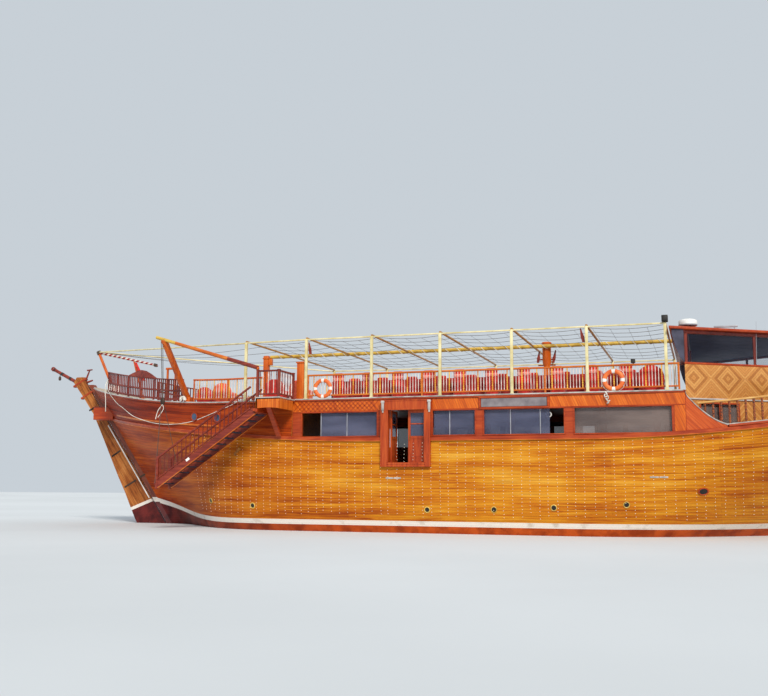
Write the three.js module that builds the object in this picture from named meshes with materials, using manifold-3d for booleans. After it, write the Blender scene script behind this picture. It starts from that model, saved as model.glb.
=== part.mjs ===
// Double-ended wooden dhow fitted out with a saloon and an open upper deck.
// Millimetres. +X towards the bow, +Y to port, +Z up. The origin is on the centreline,
// at the waterline, under the middle net post of the upper deck.
import * as THREE from 'three';
import { mergeVertices } from 'three/addons/utils/BufferGeometryUtils.js';
import Module from 'manifold-3d';

const wasm = await Module();
wasm.setup();

// Driving dimensions
const seat = 0.3; // gap between two pieces that rest on each other
const keelBottom = -1850;
const hullBottom = -1550;
const postHalf = 110; // half thickness of keel, stem and sternpost
const wallThick = 160; // frames and both skins of the hull side
const waleHeight = 140;
const waleProud = 60;
const saloonFloor = 2350;
const hullCut = 3260; // top of the hull side along the saloon
const saloonAft = -5500;
const saloonFore = 7850;
const bulkheadFore = 8050;
const wellEnd = 15700; // fore end of the well behind the stem
const prow = 18500; // past the hull's fore end
const deckTop = 4670; // upper deck amidships
const deckThick = 80;
const deckOverhang = 50;
const postSpacing = 2500;
const postSize = 95;
const netHeight = 6860;
const railHeight = 890;
const wallOuter = 4700; // outer face of the saloon wall
const wallInner = 4580;
const windowLow = 3330;
const windowHigh = 4160;
const railLine = 4600; // distance of the upper deck rail from the centreline
const stanchionHalf = 26;

// The rudder turns about a raked line: x = hingeFoot + hingeRake * z
const hingeFoot = -13285;
const hingeRake = -0.705;
const postAftGap = 80; // hinge line to the aft face of the sternpost
const postForeGap = 320; // hinge line to the fore face of the sternpost
const rudderGap = 40; // hinge line to the fore edge of the rudder
const hingeX = (z) => hingeFoot + hingeRake * z;

// The stem's inner face: x = stemFoot + stemRake * z
const stemFoot = 12600;
const stemRake = 1.02;
const stemDepth = 430;
const stemX = (z) => stemFoot + stemRake * z;

// Sheer of the wale and of the deck edge
function waleRise(x) {
  if (x < -2000) return 1170 * ((-2000 - x) / 13500) ** 2;
  if (x > 5000) return 1600 * ((x - 5000) / 12500) ** 1.9;
  return 0;
}

function deckRise(x) {
  if (x < -8000) return 1200 * ((-8000 - x) / 9000) ** 2;
  if (x > 8000) return 700 * ((x - 8000) / 9000) ** 2;
  return 0;
}

// Hull level curves. z: height amidships; half: half-breadth amidships; sheer: share of the
// wale's rise that the level follows; aft and fore: where its taper starts, then the two
// exponents that make its plan.
const hullLevels = [
  { name: 'garboard', z: hullBottom, half: 150, sheer: 0, aft: [-3000, 4, 3.5], fore: [2000, 3, 3] },
  { name: 'floor', z: -1250, half: 2300, sheer: 0, aft: [-2000, 4, 3.8], fore: [2000, 3, 2.8] },
  { name: 'bilge', z: -650, half: 3900, sheer: 0, aft: [-2000, 4, 3.4], fore: [2000, 3, 2.5] },
  { name: 'waterline', z: 0, half: 4500, sheer: 0, aft: [-4000, 4, 2.6], fore: [3000, 3, 2.2] },
  { name: 'side', z: 1000, half: 4740, sheer: 0.15, aft: [-4000, 3.4, 2], fore: [4000, 2.7, 1.6] },
  { name: 'floorline', z: 2200, half: 4800, sheer: 0.55, aft: [-4000, 2.8, 1.3], fore: [5000, 2.5, 1.1] },
  { name: 'waleLow', z: hullCut - waleHeight, half: 4800, sheer: 1, aft: [-4000, 2.4, 0.85], fore: [6000, 2.3, 0.78] },
  { name: 'waleHigh', z: hullCut, half: 4800, sheer: 1, aft: [-4000, 2.4, 0.85], fore: [6000, 2.3, 0.78] },
  { name: 'deckEdge', z: deckTop - deckThick - seat, half: 4710, sheer: 0, aft: [-4000, 2.3, 0.74], fore: [6000, 2.3, 0.78] },
];
const endShares = [1, 0.97, 0.92, 0.85, 0.76, 0.65, 0.52, 0.36, 0.18];
const middleShares = [0, 0.33, 0.67, 1];

function levelHeight(level, x) {
  if (level.name === 'deckEdge') return level.z + deckRise(x);
  return level.z + level.sheer * waleRise(x);
}

// Where a level meets the raked posts
function levelEnds(level) {
  let aftEnd = hingeX(0);
  let foreEnd = stemX(0);
  for (let pass = 0; pass < 40; pass += 1) {
    aftEnd = hingeX(levelHeight(level, aftEnd)) + postForeGap + seat;
    foreEnd = stemX(levelHeight(level, foreEnd)) - seat - 0.1;
  }
  return { aftEnd, foreEnd };
}

function halfBreadth(level, share, taper) {
  return postHalf + (level.half - postHalf) * (1 - share ** taper[1]) ** taper[2];
}

// Stations of one level from the sternpost to the stem, as points on the port side
function levelCurve(level) {
  const { aftEnd, foreEnd } = levelEnds(level);
  const points = [];
  const add = (x, half) => points.push(new THREE.Vector3(x, half, levelHeight(level, x)));
  for (const share of endShares) {
    add(level.aft[0] + (aftEnd - level.aft[0]) * share, halfBreadth(level, share, level.aft));
  }
  for (const share of middleShares) {
    add(level.aft[0] + (level.fore[0] - level.aft[0]) * share, level.half);
  }
  for (const share of [...endShares].reverse()) {
    add(level.fore[0] + (foreEnd - level.fore[0]) * share, halfBreadth(level, share, level.fore));
  }
  return points;
}

const curves = Object.fromEntries(hullLevels.map((level) => [level.name, levelCurve(level)]));

// Value of a curve's y or z at x, along its straight facets
function along(points, x, axis) {
  if (x <= points[0].x) return points[0][axis];
  for (let i = 1; i < points.length; i += 1) {
    if (x <= points[i].x) {
      const share = (x - points[i - 1].x) / (points[i].x - points[i - 1].x);
      return THREE.MathUtils.lerp(points[i - 1][axis], points[i][axis], share);
    }
  }
  return points[points.length - 1][axis];
}

const deckHeight = (x) => along(curves.deckEdge, x, 'z') + deckThick + seat;
const deckHalf = (x) => along(curves.deckEdge, x, 'y') + deckOverhang;
const capHeight = (x) => along(curves.waleHigh, x, 'z') + 2;
const capHalf = (x) => along(curves.waleHigh, x, 'y');
const foreDeckHeight = (x) => capHeight(x) - 520;

// Half-breadth of the flared side at x and at a height between the floorline and the wale
function sideHalf(x, z) {
  const [low, high] = [curves.floorline, curves.waleLow];
  const share = (z - along(low, x, 'z')) / (along(high, x, 'z') - along(low, x, 'z'));
  return THREE.MathUtils.lerp(along(low, x, 'y'), along(high, x, 'y'), share);
}

// Geometry helpers

// The mesh with its shared vertices joined
function welded(geometry) {
  const bare = geometry.clone();
  bare.deleteAttribute('normal');
  bare.deleteAttribute('uv');
  return mergeVertices(bare, 1e-3);
}

function solidOf(geometry) {
  const merged = welded(geometry);
  const vertProperties = new Float32Array(merged.attributes.position.array);
  const triVerts = new Uint32Array(merged.index.array);
  return new wasm.Manifold(new wasm.Mesh({ numProp: 3, vertProperties, triVerts }));
}

function geometryOf(solid) {
  const mesh = solid.getMesh();
  const geometry = new THREE.BufferGeometry();
  geometry.setAttribute('position', new THREE.BufferAttribute(new Float32Array(mesh.vertProperties), 3));
  geometry.setIndex([...mesh.triVerts]);
  return geometry;
}

function fuse(...geometries) {
  return geometryOf(geometries.flat().map(solidOf).reduce((sum, next) => sum.add(next)));
}

function cut(geometry, ...tools) {
  return geometryOf(tools.flat().map(solidOf).reduce((left, next) => left.subtract(next), solidOf(geometry)));
}

function common(geometry, tool) {
  return geometryOf(solidOf(geometry).intersect(solidOf(tool)));
}

function mirrored(geometry) {
  const copy = welded(geometry);
  copy.scale(1, -1, 1);
  const order = copy.index.array;
  for (let i = 0; i < order.length; i += 3) {
    const first = order[i];
    order[i] = order[i + 1];
    order[i + 1] = first;
  }
  return copy;
}

function box(x0, x1, y0, y1, z0, z1) {
  const geometry = new THREE.BoxGeometry(x1 - x0, y1 - y0, z1 - z0);
  geometry.translate((x0 + x1) / 2, (y0 + y1) / 2, (z0 + z1) / 2);
  return geometry;
}

function shapeOf(points, holes) {
  const shape = new THREE.Shape(points.map(([a, b]) => new THREE.Vector2(a, b)));
  shape.holes = holes.map((hole) => new THREE.Path(hole.map(([a, b]) => new THREE.Vector2(a, b))));
  return shape;
}

// Outline in x and z, extruded from y0 to y1
function prismY(points, y0, y1, holes = []) {
  const geometry = new THREE.ExtrudeGeometry(shapeOf(points, holes), { depth: y1 - y0, bevelEnabled: false });
  const turn = new THREE.Matrix4().makeBasis(
    new THREE.Vector3(1, 0, 0), new THREE.Vector3(0, 0, 1), new THREE.Vector3(0, -1, 0));
  geometry.applyMatrix4(turn);
  geometry.translate(0, y1, 0);
  return geometry;
}

// Outline in x and y, extruded from z0 to z1
function prismZ(points, z0, z1, holes = []) {
  const geometry = new THREE.ExtrudeGeometry(shapeOf(points, holes), { depth: z1 - z0, bevelEnabled: false });
  geometry.translate(0, 0, z0);
  return geometry;
}

// Rectangular beam between two points, with its depth measured as near upright as can be
function beam(from, to, width, depth) {
  const start = new THREE.Vector3(...from);
  const end = new THREE.Vector3(...to);
  const ahead = end.clone().sub(start);
  const length = ahead.length();
  ahead.normalize();
  const upright = Math.abs(ahead.z) > 0.95 ? new THREE.Vector3(1, 0, 0) : new THREE.Vector3(0, 0, 1);
  const side = upright.clone().cross(ahead).normalize();
  const up = ahead.clone().cross(side);
  const geometry = new THREE.BoxGeometry(length, width, depth);
  geometry.applyMatrix4(new THREE.Matrix4().makeBasis(ahead, side, up));
  const middle = start.add(end).multiplyScalar(0.5);
  geometry.translate(middle.x, middle.y, middle.z);
  return geometry;
}

// Round bar between two points
function rod(from, to, radius, sides = 10, endRadius = radius) {
  const start = new THREE.Vector3(...from);
  const end = new THREE.Vector3(...to);
  const ahead = end.clone().sub(start);
  const geometry = new THREE.CylinderGeometry(endRadius, radius, ahead.length(), sides);
  const turn = new THREE.Quaternion().setFromUnitVectors(new THREE.Vector3(0, 1, 0), ahead.normalize());
  geometry.applyQuaternion(turn);
  const middle = start.add(end).multiplyScalar(0.5);
  geometry.translate(middle.x, middle.y, middle.z);
  return geometry;
}

// Triangles that close a ring, turning the same way as its points do
function capOf(ring) {
  const flat = ring.map((point) => new THREE.Vector2(point.y, point.z));
  const turn = Math.sign(THREE.ShapeUtils.area(flat));
  return THREE.ShapeUtils.triangulateShape(flat, []).map(([a, b, c]) => (
    Math.sign(THREE.ShapeUtils.area([flat[a], flat[b], flat[c]])) === turn ? [a, b, c] : [c, b, a]));
}

// Skin over a row of closed rings, each with the same count of points, with flat ends
function loft(rings) {
  const size = rings[0].length;
  const positions = rings.flat().flatMap((point) => [point.x, point.y, point.z]);
  const triangles = [];
  for (let ring = 0; ring + 1 < rings.length; ring += 1) {
    for (let i = 0; i < size; i += 1) {
      const a = ring * size + i;
      const b = ring * size + ((i + 1) % size);
      triangles.push([a, b, b + size], [a, b + size, a + size]);
    }
  }
  const last = (rings.length - 1) * size;
  for (const [a, b, c] of capOf(rings[0])) triangles.push([c, b, a]);
  for (const [a, b, c] of capOf(rings[rings.length - 1])) triangles.push([last + a, last + b, last + c]);
  const geometry = new THREE.BufferGeometry();
  geometry.setAttribute('position', new THREE.Float32BufferAttribute(positions, 3));
  geometry.setIndex(triangles.flat());
  return outward(geometry);
}

// Turns a closed mesh so that its faces point out
function outward(geometry) {
  const position = geometry.attributes.position;
  const order = geometry.index.array;
  const corner = [new THREE.Vector3(), new THREE.Vector3(), new THREE.Vector3()];
  let volume = 0;
  for (let i = 0; i < order.length; i += 3) {
    corner.forEach((point, k) => point.fromBufferAttribute(position, order[i + k]));
    volume += corner[0].dot(corner[1].clone().cross(corner[2]));
  }
  if (volume > 0) return geometry;
  for (let i = 0; i < order.length; i += 3) {
    const first = order[i];
    order[i] = order[i + 1];
    order[i + 1] = first;
  }
  return geometry;
}

// Solid of rectangular stations: each row holds x, two values of y and two of z
function ribbon(rows) {
  return loft(rows.map(({ x, y, z }) => [
    new THREE.Vector3(x, y[0], z[0]), new THREE.Vector3(x, y[1], z[0]),
    new THREE.Vector3(x, y[1], z[1]), new THREE.Vector3(x, y[0], z[1]),
  ]));
}

// Stations of the deck edge between two values of x, with both ends
function stationsOf(points, from, to) {
  const inner = points.map((point) => point.x).filter((x) => x > from + 20 && x < to - 20);
  return [from, ...inner, to];
}

// Hull

// Both halves of the hull reach a little past the centreline and are joined there
function hullShell() {
  const names = hullLevels.map((level) => level.name);
  const pastCentre = (point) => new THREE.Vector3(point.x, -30, point.z);
  const rings = curves.waterline.map((_, i) => {
    const port = names.map((name) => curves[name][i]);
    return [pastCentre(port[0]), ...port, pastCentre(port[port.length - 1])];
  });
  const half = loft(rings);
  return fuse(half, mirrored(half));
}

const doorway = { from: -1830, to: -500, low: 2370, high: 4210 };
const doorFrame = { from: -2090, to: -300, low: 2240, high: 4550 };
const race = { fore: -11100, top: -330, axis: -950 };

// The hull with its side planks and bulwarks still on it
function wholeHull() {
  const topLine = stationsOf(curves.waleHigh, bulkheadFore, prow).map((x) => [x, capHeight(x)]);
  const aboveSide = prismY([
    [saloonAft, hullCut], [bulkheadFore, hullCut], ...topLine, [prow, 9000], [saloonAft, 9000],
  ], -6000, 6000);
  const hollowHalf = (x) => capHalf(x) - wallThick;
  const saloon = ribbon(stationsOf(curves.waleHigh, saloonAft, saloonFore).map((x) => (
    { x, y: [-hollowHalf(x), hollowHalf(x)], z: [saloonFloor, 6000] })));
  const foreWell = loft(stationsOf(curves.waleHigh, bulkheadFore, wellEnd).map((x) => {
    const [floor, cap] = [foreDeckHeight(x), capHeight(x)];
    const [narrow, wide] = [sideHalf(x, floor) - wallThick, hollowHalf(x)];
    return [
      [-narrow, floor], [narrow, floor], [wide, cap], [wide, 7000], [-wide, 7000], [-wide, cap],
    ].map(([y, z]) => new THREE.Vector3(x, y, z));
  }));
  const doorGap = box(doorFrame.from, doorFrame.to, -6000, 6000, doorFrame.low, 6000);
  const floorKept = box(doorFrame.from - 50, doorFrame.to + 50, -wallInner, wallInner, 0, saloonFloor);
  const propellerRace = prismY([
    [-14000, hullBottom - 100], [race.fore, hullBottom - 100], [race.fore, race.top], [-14000, race.top],
  ], -3000, 3000);
  const doorCut = cut(doorGap, floorKept);
  return cut(hullShell(), aboveSide, saloon, foreWell, doorCut, propellerRace);
}

const plankedHull = wholeHull();

// Space over the saloon floor, and over the level of the fore well's floor up to the prow
function overSaloon(inset, y) {
  return box(saloonAft + inset, saloonFore - inset, y[0], y[1], saloonFloor + inset, 6000);
}

function overFloor(inset, y) {
  return ribbon(stationsOf(curves.waleHigh, bulkheadFore + inset, prow).map((x) => (
    { x, y, z: [foreDeckHeight(x) + inset, 9000] })));
}

// Body of the hull under the saloon and the fore well, and up to the deck aft of them
function hull() {
  return cut(plankedHull, overSaloon(0, [-6000, 6000]), overFloor(0, [-6000, 6000]));
}

const postHead = 6010; // top of the sternpost
const gudgeonHeights = [-1150, 1850, 2830, 4600];
const hingeAhead = new THREE.Vector3(hingeRake, 0, 1).normalize();
const onHinge = (z, offset = 0) => {
  const point = new THREE.Vector3(hingeX(z), 0, z).addScaledVector(hingeAhead, offset);
  return [point.x, point.y, point.z];
};
const gudgeonLength = 120;
const pintleRadius = 20;
const gudgeonBore = 21.6;
const collarGap = 15; // under each gudgeon, clear of its arm as the rudder turns

function gudgeon(z) {
  const ring = rod(onHinge(z, -gudgeonLength / 2), onHinge(z, gudgeonLength / 2), 45, 10);
  const arm = beam([hingeX(z) + 22, 0, z], [hingeX(z) + postAftGap + 60, 0, z], 60, 70);
  const bore = rod(onHinge(z, -gudgeonLength), onHinge(z, gudgeonLength), gudgeonBore, 10);
  return { body: [ring, arm], bore };
}

function keelAndPosts() {
  const innerFoot = hullBottom - seat;
  const outline = [
    [hingeX(keelBottom) + postAftGap, keelBottom], [10100, keelBottom], [10900, keelBottom + 130],
    [stemX(-1200) + stemDepth, -1200], [stemX(6000) + stemDepth, 6000], [19390, 6430], [19080, 6470],
    [stemX(5980) + 40, 6090], [stemX(5700), 5700], [stemX(innerFoot), innerFoot],
    [hingeX(innerFoot) + postForeGap, innerFoot], [hingeX(postHead) + postForeGap, postHead],
    [hingeX(postHead) + postAftGap, postHead],
  ];
  const gudgeons = gudgeonHeights.map(gudgeon);
  const body = fuse(prismY(outline, -postHalf, postHalf), gudgeons.flatMap((one) => one.body));
  return cut(body, gudgeons.map((one) => one.bore));
}

// Heavy belt plank that follows the sheer, on the port side, between two values of x.
// An end that meets the door frame is cut square.
function wale(from, to) {
  const shift = (point, out) => new THREE.Vector3(point.x, point.y + out, point.z);
  const section = (low, high) => [shift(low, seat), shift(high, seat), shift(high, waleProud), shift(low, waleProud)];
  const pointAt = (curve, x) => new THREE.Vector3(x, along(curve, x, 'y'), along(curve, x, 'z'));
  const square = (x) => section(pointAt(curves.waleLow, x), pointAt(curves.waleHigh, x));
  const rings = curves.waleLow.map((low, i) => section(low, curves.waleHigh[i]));
  const kept = rings.filter((_, i) => curves.waleLow[i].x > from + 20 && curves.waleLow[i].x < to - 20);
  if (Number.isFinite(from)) kept.unshift(square(from));
  if (Number.isFinite(to)) kept.push(square(to));
  return loft(kept);
}

// Decks and saloon

const houseAft = { x: 8070, half: 4500 };
const houseFore = { x: 12000, half: 1950 };

function upperDeck() {
  const main = stationsOf(curves.deckEdge, curves.deckEdge[0].x, 8000).map((x) => (
    { x, y: [-deckHalf(x), deckHalf(x)], z: [deckHeight(x) - deckThick, deckHeight(x)] }));
  const fore = [[8080, 4560], [12070, 2000]].map(([x, half]) => (
    { x, y: [-half, half], z: [deckTop - deckThick, deckTop] }));
  return ribbon([...main, ...fore]);
}

const windows = [
  { from: -5130, to: -2290 }, { from: -270, to: 1210 }, { from: 1520, to: 4200 }, { from: 4550, to: 7610 },
];
const rectangle = (x0, x1, z0, z1) => [[x0, z0], [x1, z0], [x1, z1], [x0, z1]];

const lap = 10; // how far a wall or cap reaches into the plank that it is joined to

// Port side of the saloon: the hull's side planks over the floor, and the wall with its windows
function saloonWall() {
  const low = hullCut - lap;
  const high = deckTop - deckThick - seat;
  const holes = windows.map(({ from, to }) => box(from, to, wallInner - 50, wallOuter + 50, windowLow, windowHigh));
  const outline = [
    [saloonAft + seat, low], [doorFrame.from - seat, low], [doorFrame.from - seat, doorFrame.high + seat],
    [doorFrame.to + seat, doorFrame.high + seat], [doorFrame.to + seat, low],
    [saloonFore - seat, low], [saloonFore - seat, hullCut + seat],
    [bulkheadFore - seat, hullCut + seat], [bulkheadFore - seat, high], [saloonAft + seat, high],
  ];
  const signPanel = box(1350, 3740, wallOuter - 20, wallOuter + 60, 4175, 4585);
  const planks = common(plankedHull, overSaloon(seat, [0, 6000]));
  return fuse(cut(prismY(outline, wallInner, wallOuter), holes), signPanel, planks);
}

const glassThick = 12;
const slidPane = { aft: -4420, foreFrom: 3720, foreTo: 4300 };

// Tinted panes stand just inside the wall: one aft of the door, one fore of it with the
// open end of the third window left free
function aftGlass() {
  const outer = wallInner - seat;
  return box(slidPane.aft, -2150, outer - glassThick, outer, windowLow - 50, windowHigh + 60);
}

function foreGlass() {
  const outer = wallInner - seat;
  return prismY([
    [-250, windowLow - 50], [slidPane.foreFrom, windowLow - 50], [slidPane.foreFrom, windowHigh + 40],
    [slidPane.foreTo, windowHigh + 40], [slidPane.foreTo, windowLow - 50], [7700, windowLow - 50],
    [7700, windowHigh + 180], [-250, windowHigh + 180],
  ], outer - glassThick, outer);
}

// Doors

const frameOuter = 4920;
const frameInner = 4620;
const pivotLine = 4606; // distance of the leaves' pivots from the centreline
const pivotRadius = 9;
const leafThick = 44;
const leafGap = 6;
const leafMeet = 5; // from the middle of the doorway to each leaf's free edge

function doorFramePort() {
  const ring = prismY(
    rectangle(doorFrame.from + seat, doorFrame.to - seat, doorFrame.low + seat, doorFrame.high),
    frameInner, frameOuter, [rectangle(doorway.from, doorway.to, doorway.low, doorway.high)]);
  const sill = box(doorway.from - 40, doorway.to + 40, pivotLine - 26, frameInner + 10, saloonFloor + seat, doorway.low);
  const head = box(doorway.from - 40, doorway.to + 40, pivotLine - 26, frameInner + 10, doorway.high, doorway.high + 60);
  return fuse(ring, sill, head);
}

// One leaf closed on the port side, hung at x = hinge, with its free edge at x = free
function doorLeaf(hinge, free) {
  const sign = Math.sign(free - hinge);
  const inner = pivotLine + 6;
  const edge = hinge + sign * leafGap;
  const x = [edge, free - sign * leafMeet].sort((a, b) => a - b);
  const panel = box(x[0], x[1], inner, inner + leafThick, doorway.low + leafGap, doorway.high - leafGap);
  const pivotX = hinge + sign * 16;
  const pivot = rod([pivotX, pivotLine, doorway.low + seat], [pivotX, pivotLine, doorway.high - seat], pivotRadius, 10);
  const handleX = free - sign * 70;
  const handle = box(handleX - 12, handleX + 12, inner + leafThick - 5, inner + leafThick + 28, 3150, 3330);
  return fuse(panel, pivot, handle);
}

const doorMiddle = (doorway.from + doorway.to) / 2;

// Swings a leaf about its upright pivot line
function swung(geometry, x, y, angle) {
  const copy = geometry.clone();
  copy.translate(-x, -y, 0);
  copy.rotateZ(angle);
  copy.translate(x, y, 0);
  return copy;
}

// Fore house and wheelhouse share one plan that narrows forward

const houseSlope = (houseAft.half - houseFore.half) / (houseFore.x - houseAft.x);

function insetHouse(depth, aft = depth) {
  const halfAt = (x) => houseHalf(x) - depth * Math.hypot(1, houseSlope);
  const foreX = houseFore.x - depth;
  const aftX = houseAft.x + aft;
  return [[aftX, -halfAt(aftX)], [foreX, -halfAt(foreX)], [foreX, halfAt(foreX)], [aftX, halfAt(aftX)]];
}

const foreHouseTop = deckTop - deckThick - seat;
const houseWall = 90;

function houseHalf(x) {
  return houseAft.half - houseSlope * (x - houseAft.x);
}

function foreHouseWalls() {
  const ring = prismZ(insetHouse(0, -170), 2700, foreHouseTop, [insetHouse(houseWall, -90)]);
  const floorLine = stationsOf(curves.waleHigh, bulkheadFore + seat, 12800).map((x) => [x, foreDeckHeight(x) + seat]);
  const belowFloor = prismY([
    [7000, 0], [12800, 0], ...floorLine.reverse(), [bulkheadFore + seat, hullCut + seat], [7000, hullCut + seat],
  ], -6000, 6000);
  const aftDoor = box(7700, 8100, -450, 450, hullCut, 4400);
  const foreDoor = box(11850, 12100, -foreDoorway.half, foreDoorway.half, foreDoorway.low, foreDoorway.high);
  const sideWindow = box(8500, 9650, -6000, 6000, 3560, 4250);
  const besides = (aft, fore, half, high) => [-1, 1].map((side) => (
    box(aft, fore, ...[side * half, side * 6000].sort((a, b) => a - b), 0, high)));
  const cornerFore = bulkheadFore + 50;
  const flareFoot = sideHalf(cornerFore, foreDeckHeight(cornerFore)) - wallThick;
  const besideWall = besides(7000, bulkheadFore + seat, wallInner - seat, 9000);
  const besideFlare = besides(7000, cornerFore, flareFoot - seat, hullCut);
  return cut(ring, belowFloor, aftDoor, foreDoor, sideWindow, ...besideWall, ...besideFlare);
}

const foreDoorway = { low: 3320, high: 4480, half: 400 };

function foreHouseGlass() {
  const side = (from, to) => {
    const outer = (x) => houseHalf(x) - (houseWall + seat) * Math.hypot(1, houseSlope);
    const row = (x) => ({ x, y: [outer(x) - glassThick, outer(x)], z: [3530, 4290] });
    return ribbon([row(from), row(to)]);
  };
  return side(8460, 9690);
}

const sillHeight = 5510;
const roofLow = 6620;
const headDepth = 110; // head plank under the wheelhouse roof
const framePost = 45; // half width of the wheelhouse's window posts

function wheelhouseWalls() {
  const ring = prismZ(insetHouse(0), deckTop + seat, sillHeight, [insetHouse(70)]);
  const doorGap = box(8000, 8200, -wheelDoor.half, wheelDoor.half, deckTop, sillHeight + 10);
  return cut(ring, doorGap);
}

const wheelDoor = { aft: 8160, half: 380, low: 4690, high: 6500 };
const pivotHead = roofLow - headDepth; // block over the top of the wheelhouse door's pivot

function wheelhouseFrame() {
  const sill = prismZ(insetHouse(-15), sillHeight + seat, sillHeight + 70, [insetHouse(124)]);
  const head = prismZ(insetHouse(-10), roofLow - headDepth, roofLow - seat, [insetHouse(124)]);
  const posts = [];
  for (const x of [8115, 10240, 11300]) {
    for (const side of [-1, 1]) {
      const y = side * (houseHalf(x) - 50);
      posts.push(box(x - framePost, x + framePost, y - framePost, y + framePost, sillHeight + 30, roofLow - 50));
    }
  }
  for (const y of [-1860, -640, 640, 1860]) {
    posts.push(box(11905, 11995, y - framePost, y + framePost, sillHeight + 30, roofLow - 50));
  }
  for (const y of [-2900, -1600, -430, 430, 1600, 2900]) {
    posts.push(box(8072, 8138, y - framePost, y + framePost, sillHeight + 30, roofLow - 50));
  }
  const gap = box(8000, 8200, -wheelDoor.half, wheelDoor.half, sillHeight, sillHeight + 200);
  const block = box(8150, 8240, 335, 395, pivotHead, roofLow - 50);
  return cut(fuse(sill, head, posts, block), gap);
}

function wheelhouseGlass() {
  const low = sillHeight + 70 + seat;
  const high = roofLow - headDepth - seat;
  const outer = insetHouse(108);
  const inner = insetHouse(120);
  const ring = prismZ(outer, low, high, [inner]);
  return cut(ring, box(8000, 8300, -600, 600, 0, 9000));
}

function wheelhouseRoof() {
  const slab = prismZ(insetHouse(-170, -450), roofLow, roofLow + 90);
  const crown = prismZ(insetHouse(250), roofLow + 80, roofLow + 130);
  return fuse(slab, crown);
}

function wheelhouseDoor() {
  const { aft, half, low, high } = wheelDoor;
  const panel = box(aft, aft + leafThick, -half + leafGap, half - leafGap, low, high - leafGap);
  const pivotX = aft + leafThick + 6;
  const pivotY = half - 16;
  const pivot = rod([pivotX, pivotY, deckTop + seat], [pivotX, pivotY, pivotHead - seat], pivotRadius, 10);
  return fuse(panel, pivot);
}

function radarDome() {
  const r = 300;
  const base = roofLow + 90 + seat;
  const profile = [[0, 0], [90, 0], [90, 60], [r - 20, 75], [r, 110], [r, 200], [r - 60, 270], [r - 170, 300], [0, 310]];
  const dome = new THREE.LatheGeometry(profile.map(([a, b]) => new THREE.Vector2(a, b)), 20);
  dome.rotateX(Math.PI / 2);
  dome.translate(8200, -4200, base);
  return dome;
}

function roofBox() {
  const base = roofLow + 130 + seat;
  return fuse(
    box(9800, 10700, -1500, -700, base, base + 110), box(9900, 10600, -1400, -800, base + 100, base + 170));
}

// Helm

const helm = { x: 11250, z: 5560, radius: 420 };

function helmStand() {
  const column = box(helm.x + 70, helm.x + 330, -170, 170, deckTop + seat, 5780);
  const dash = box(helm.x + 200, 11880, -900, 900, 5200, 5490);
  const spindle = rod([helm.x - 60, 0, helm.z], [helm.x + 100, 0, helm.z], 18, 12);
  return fuse(column, dash, spindle);
}

function helmWheel() {
  const section = [];
  for (let i = 0; i <= 4; i += 1) {
    const angle = (i / 4) * 2 * Math.PI;
    section.push(new THREE.Vector2(helm.radius - 70 + 24 * Math.cos(angle), 24 * Math.sin(angle)));
  }
  const rim = new THREE.LatheGeometry(section, 16);
  rim.rotateZ(Math.PI / 2);
  const hub = rod([-35, 0, 0], [35, 0, 0], 60, 12);
  const spokes = [];
  for (let i = 0; i < 4; i += 1) {
    const angle = (i / 4) * Math.PI;
    const y = helm.radius * Math.cos(angle);
    const z = helm.radius * Math.sin(angle);
    spokes.push(rod([0, -y, -z], [0, y, z], 14, 6));
  }
  const wheel = fuse(hub, spokes, rim);
  wheel.translate(helm.x, 0, helm.z);
  const bore = rod([helm.x - 100, 0, helm.z], [helm.x + 100, 0, helm.z], 19, 12);
  return cut(wheel, bore);
}

// Rails

// Highest point of the deck under a foot of the given half width
const footing = (x, half) => Math.max(deckHeight(x - half), deckHeight(x + half), deckHeight(x)) + seat;

// One plank of a rail: its centre line in x and y, height of its middle over a surface, size
function railPlank(path, surface, level, width, depth) {
  return ribbon(path.map(([x, y]) => (
    { x, y: [y - width / 2, y + width / 2], z: [surface(x) + level - depth / 2, surface(x) + level + depth / 2] })));
}

// Rail along a deck edge: path points in x and y, height over the deck, and turned stanchions
function deckRail(path, height, spacing, lower) {
  const pieces = [
    railPlank(path, deckHeight, height - 35, 70, 70),
    railPlank(path, deckHeight, lower, 2 * stanchionHalf, 60),
  ];
  const [first, last] = [path[0][0], path[path.length - 1][0]];
  const line = path.map(([x, y]) => ({ x, y }));
  const count = Math.round((last - first) / spacing);
  for (let k = 0; k <= count; k += 1) {
    const x = THREE.MathUtils.lerp(first + 32, last - 32, k / count);
    const y = along(line, x, 'y');
    pieces.push(box(
      x - stanchionHalf, x + stanchionHalf, y - stanchionHalf, y + stanchionHalf,
      footing(x, 30), deckHeight(x) + height - 20));
  }
  return fuse(pieces);
}

function edgePath(from, to, inset) {
  return stationsOf(curves.deckEdge, from, to).map((x) => [x, deckHalf(x) - inset]);
}

function upperRail(from) {
  return deckRail([[from, railLine], [7900, railLine]], railHeight, 810, 120);
}

// Starboard rail with the square gate post at its aft end, made on the port side
function gatedRail() {
  const post = box(-5350, -5070, 4480, 4740, deckTop + seat, 6040);
  return fuse(upperRail(-5100), post);
}

function aftRail(from, to) {
  return deckRail(edgePath(from, to, 165), railHeight, 790, 120);
}

// Higher slatted bulwark round the stern
function poopRail() {
  const path = edgePath(-15180, -10420, 110);
  return fuse(deckRail(path, 880, 860, 420), railPlank(path, deckHeight, 110, 45, 70));
}

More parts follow.
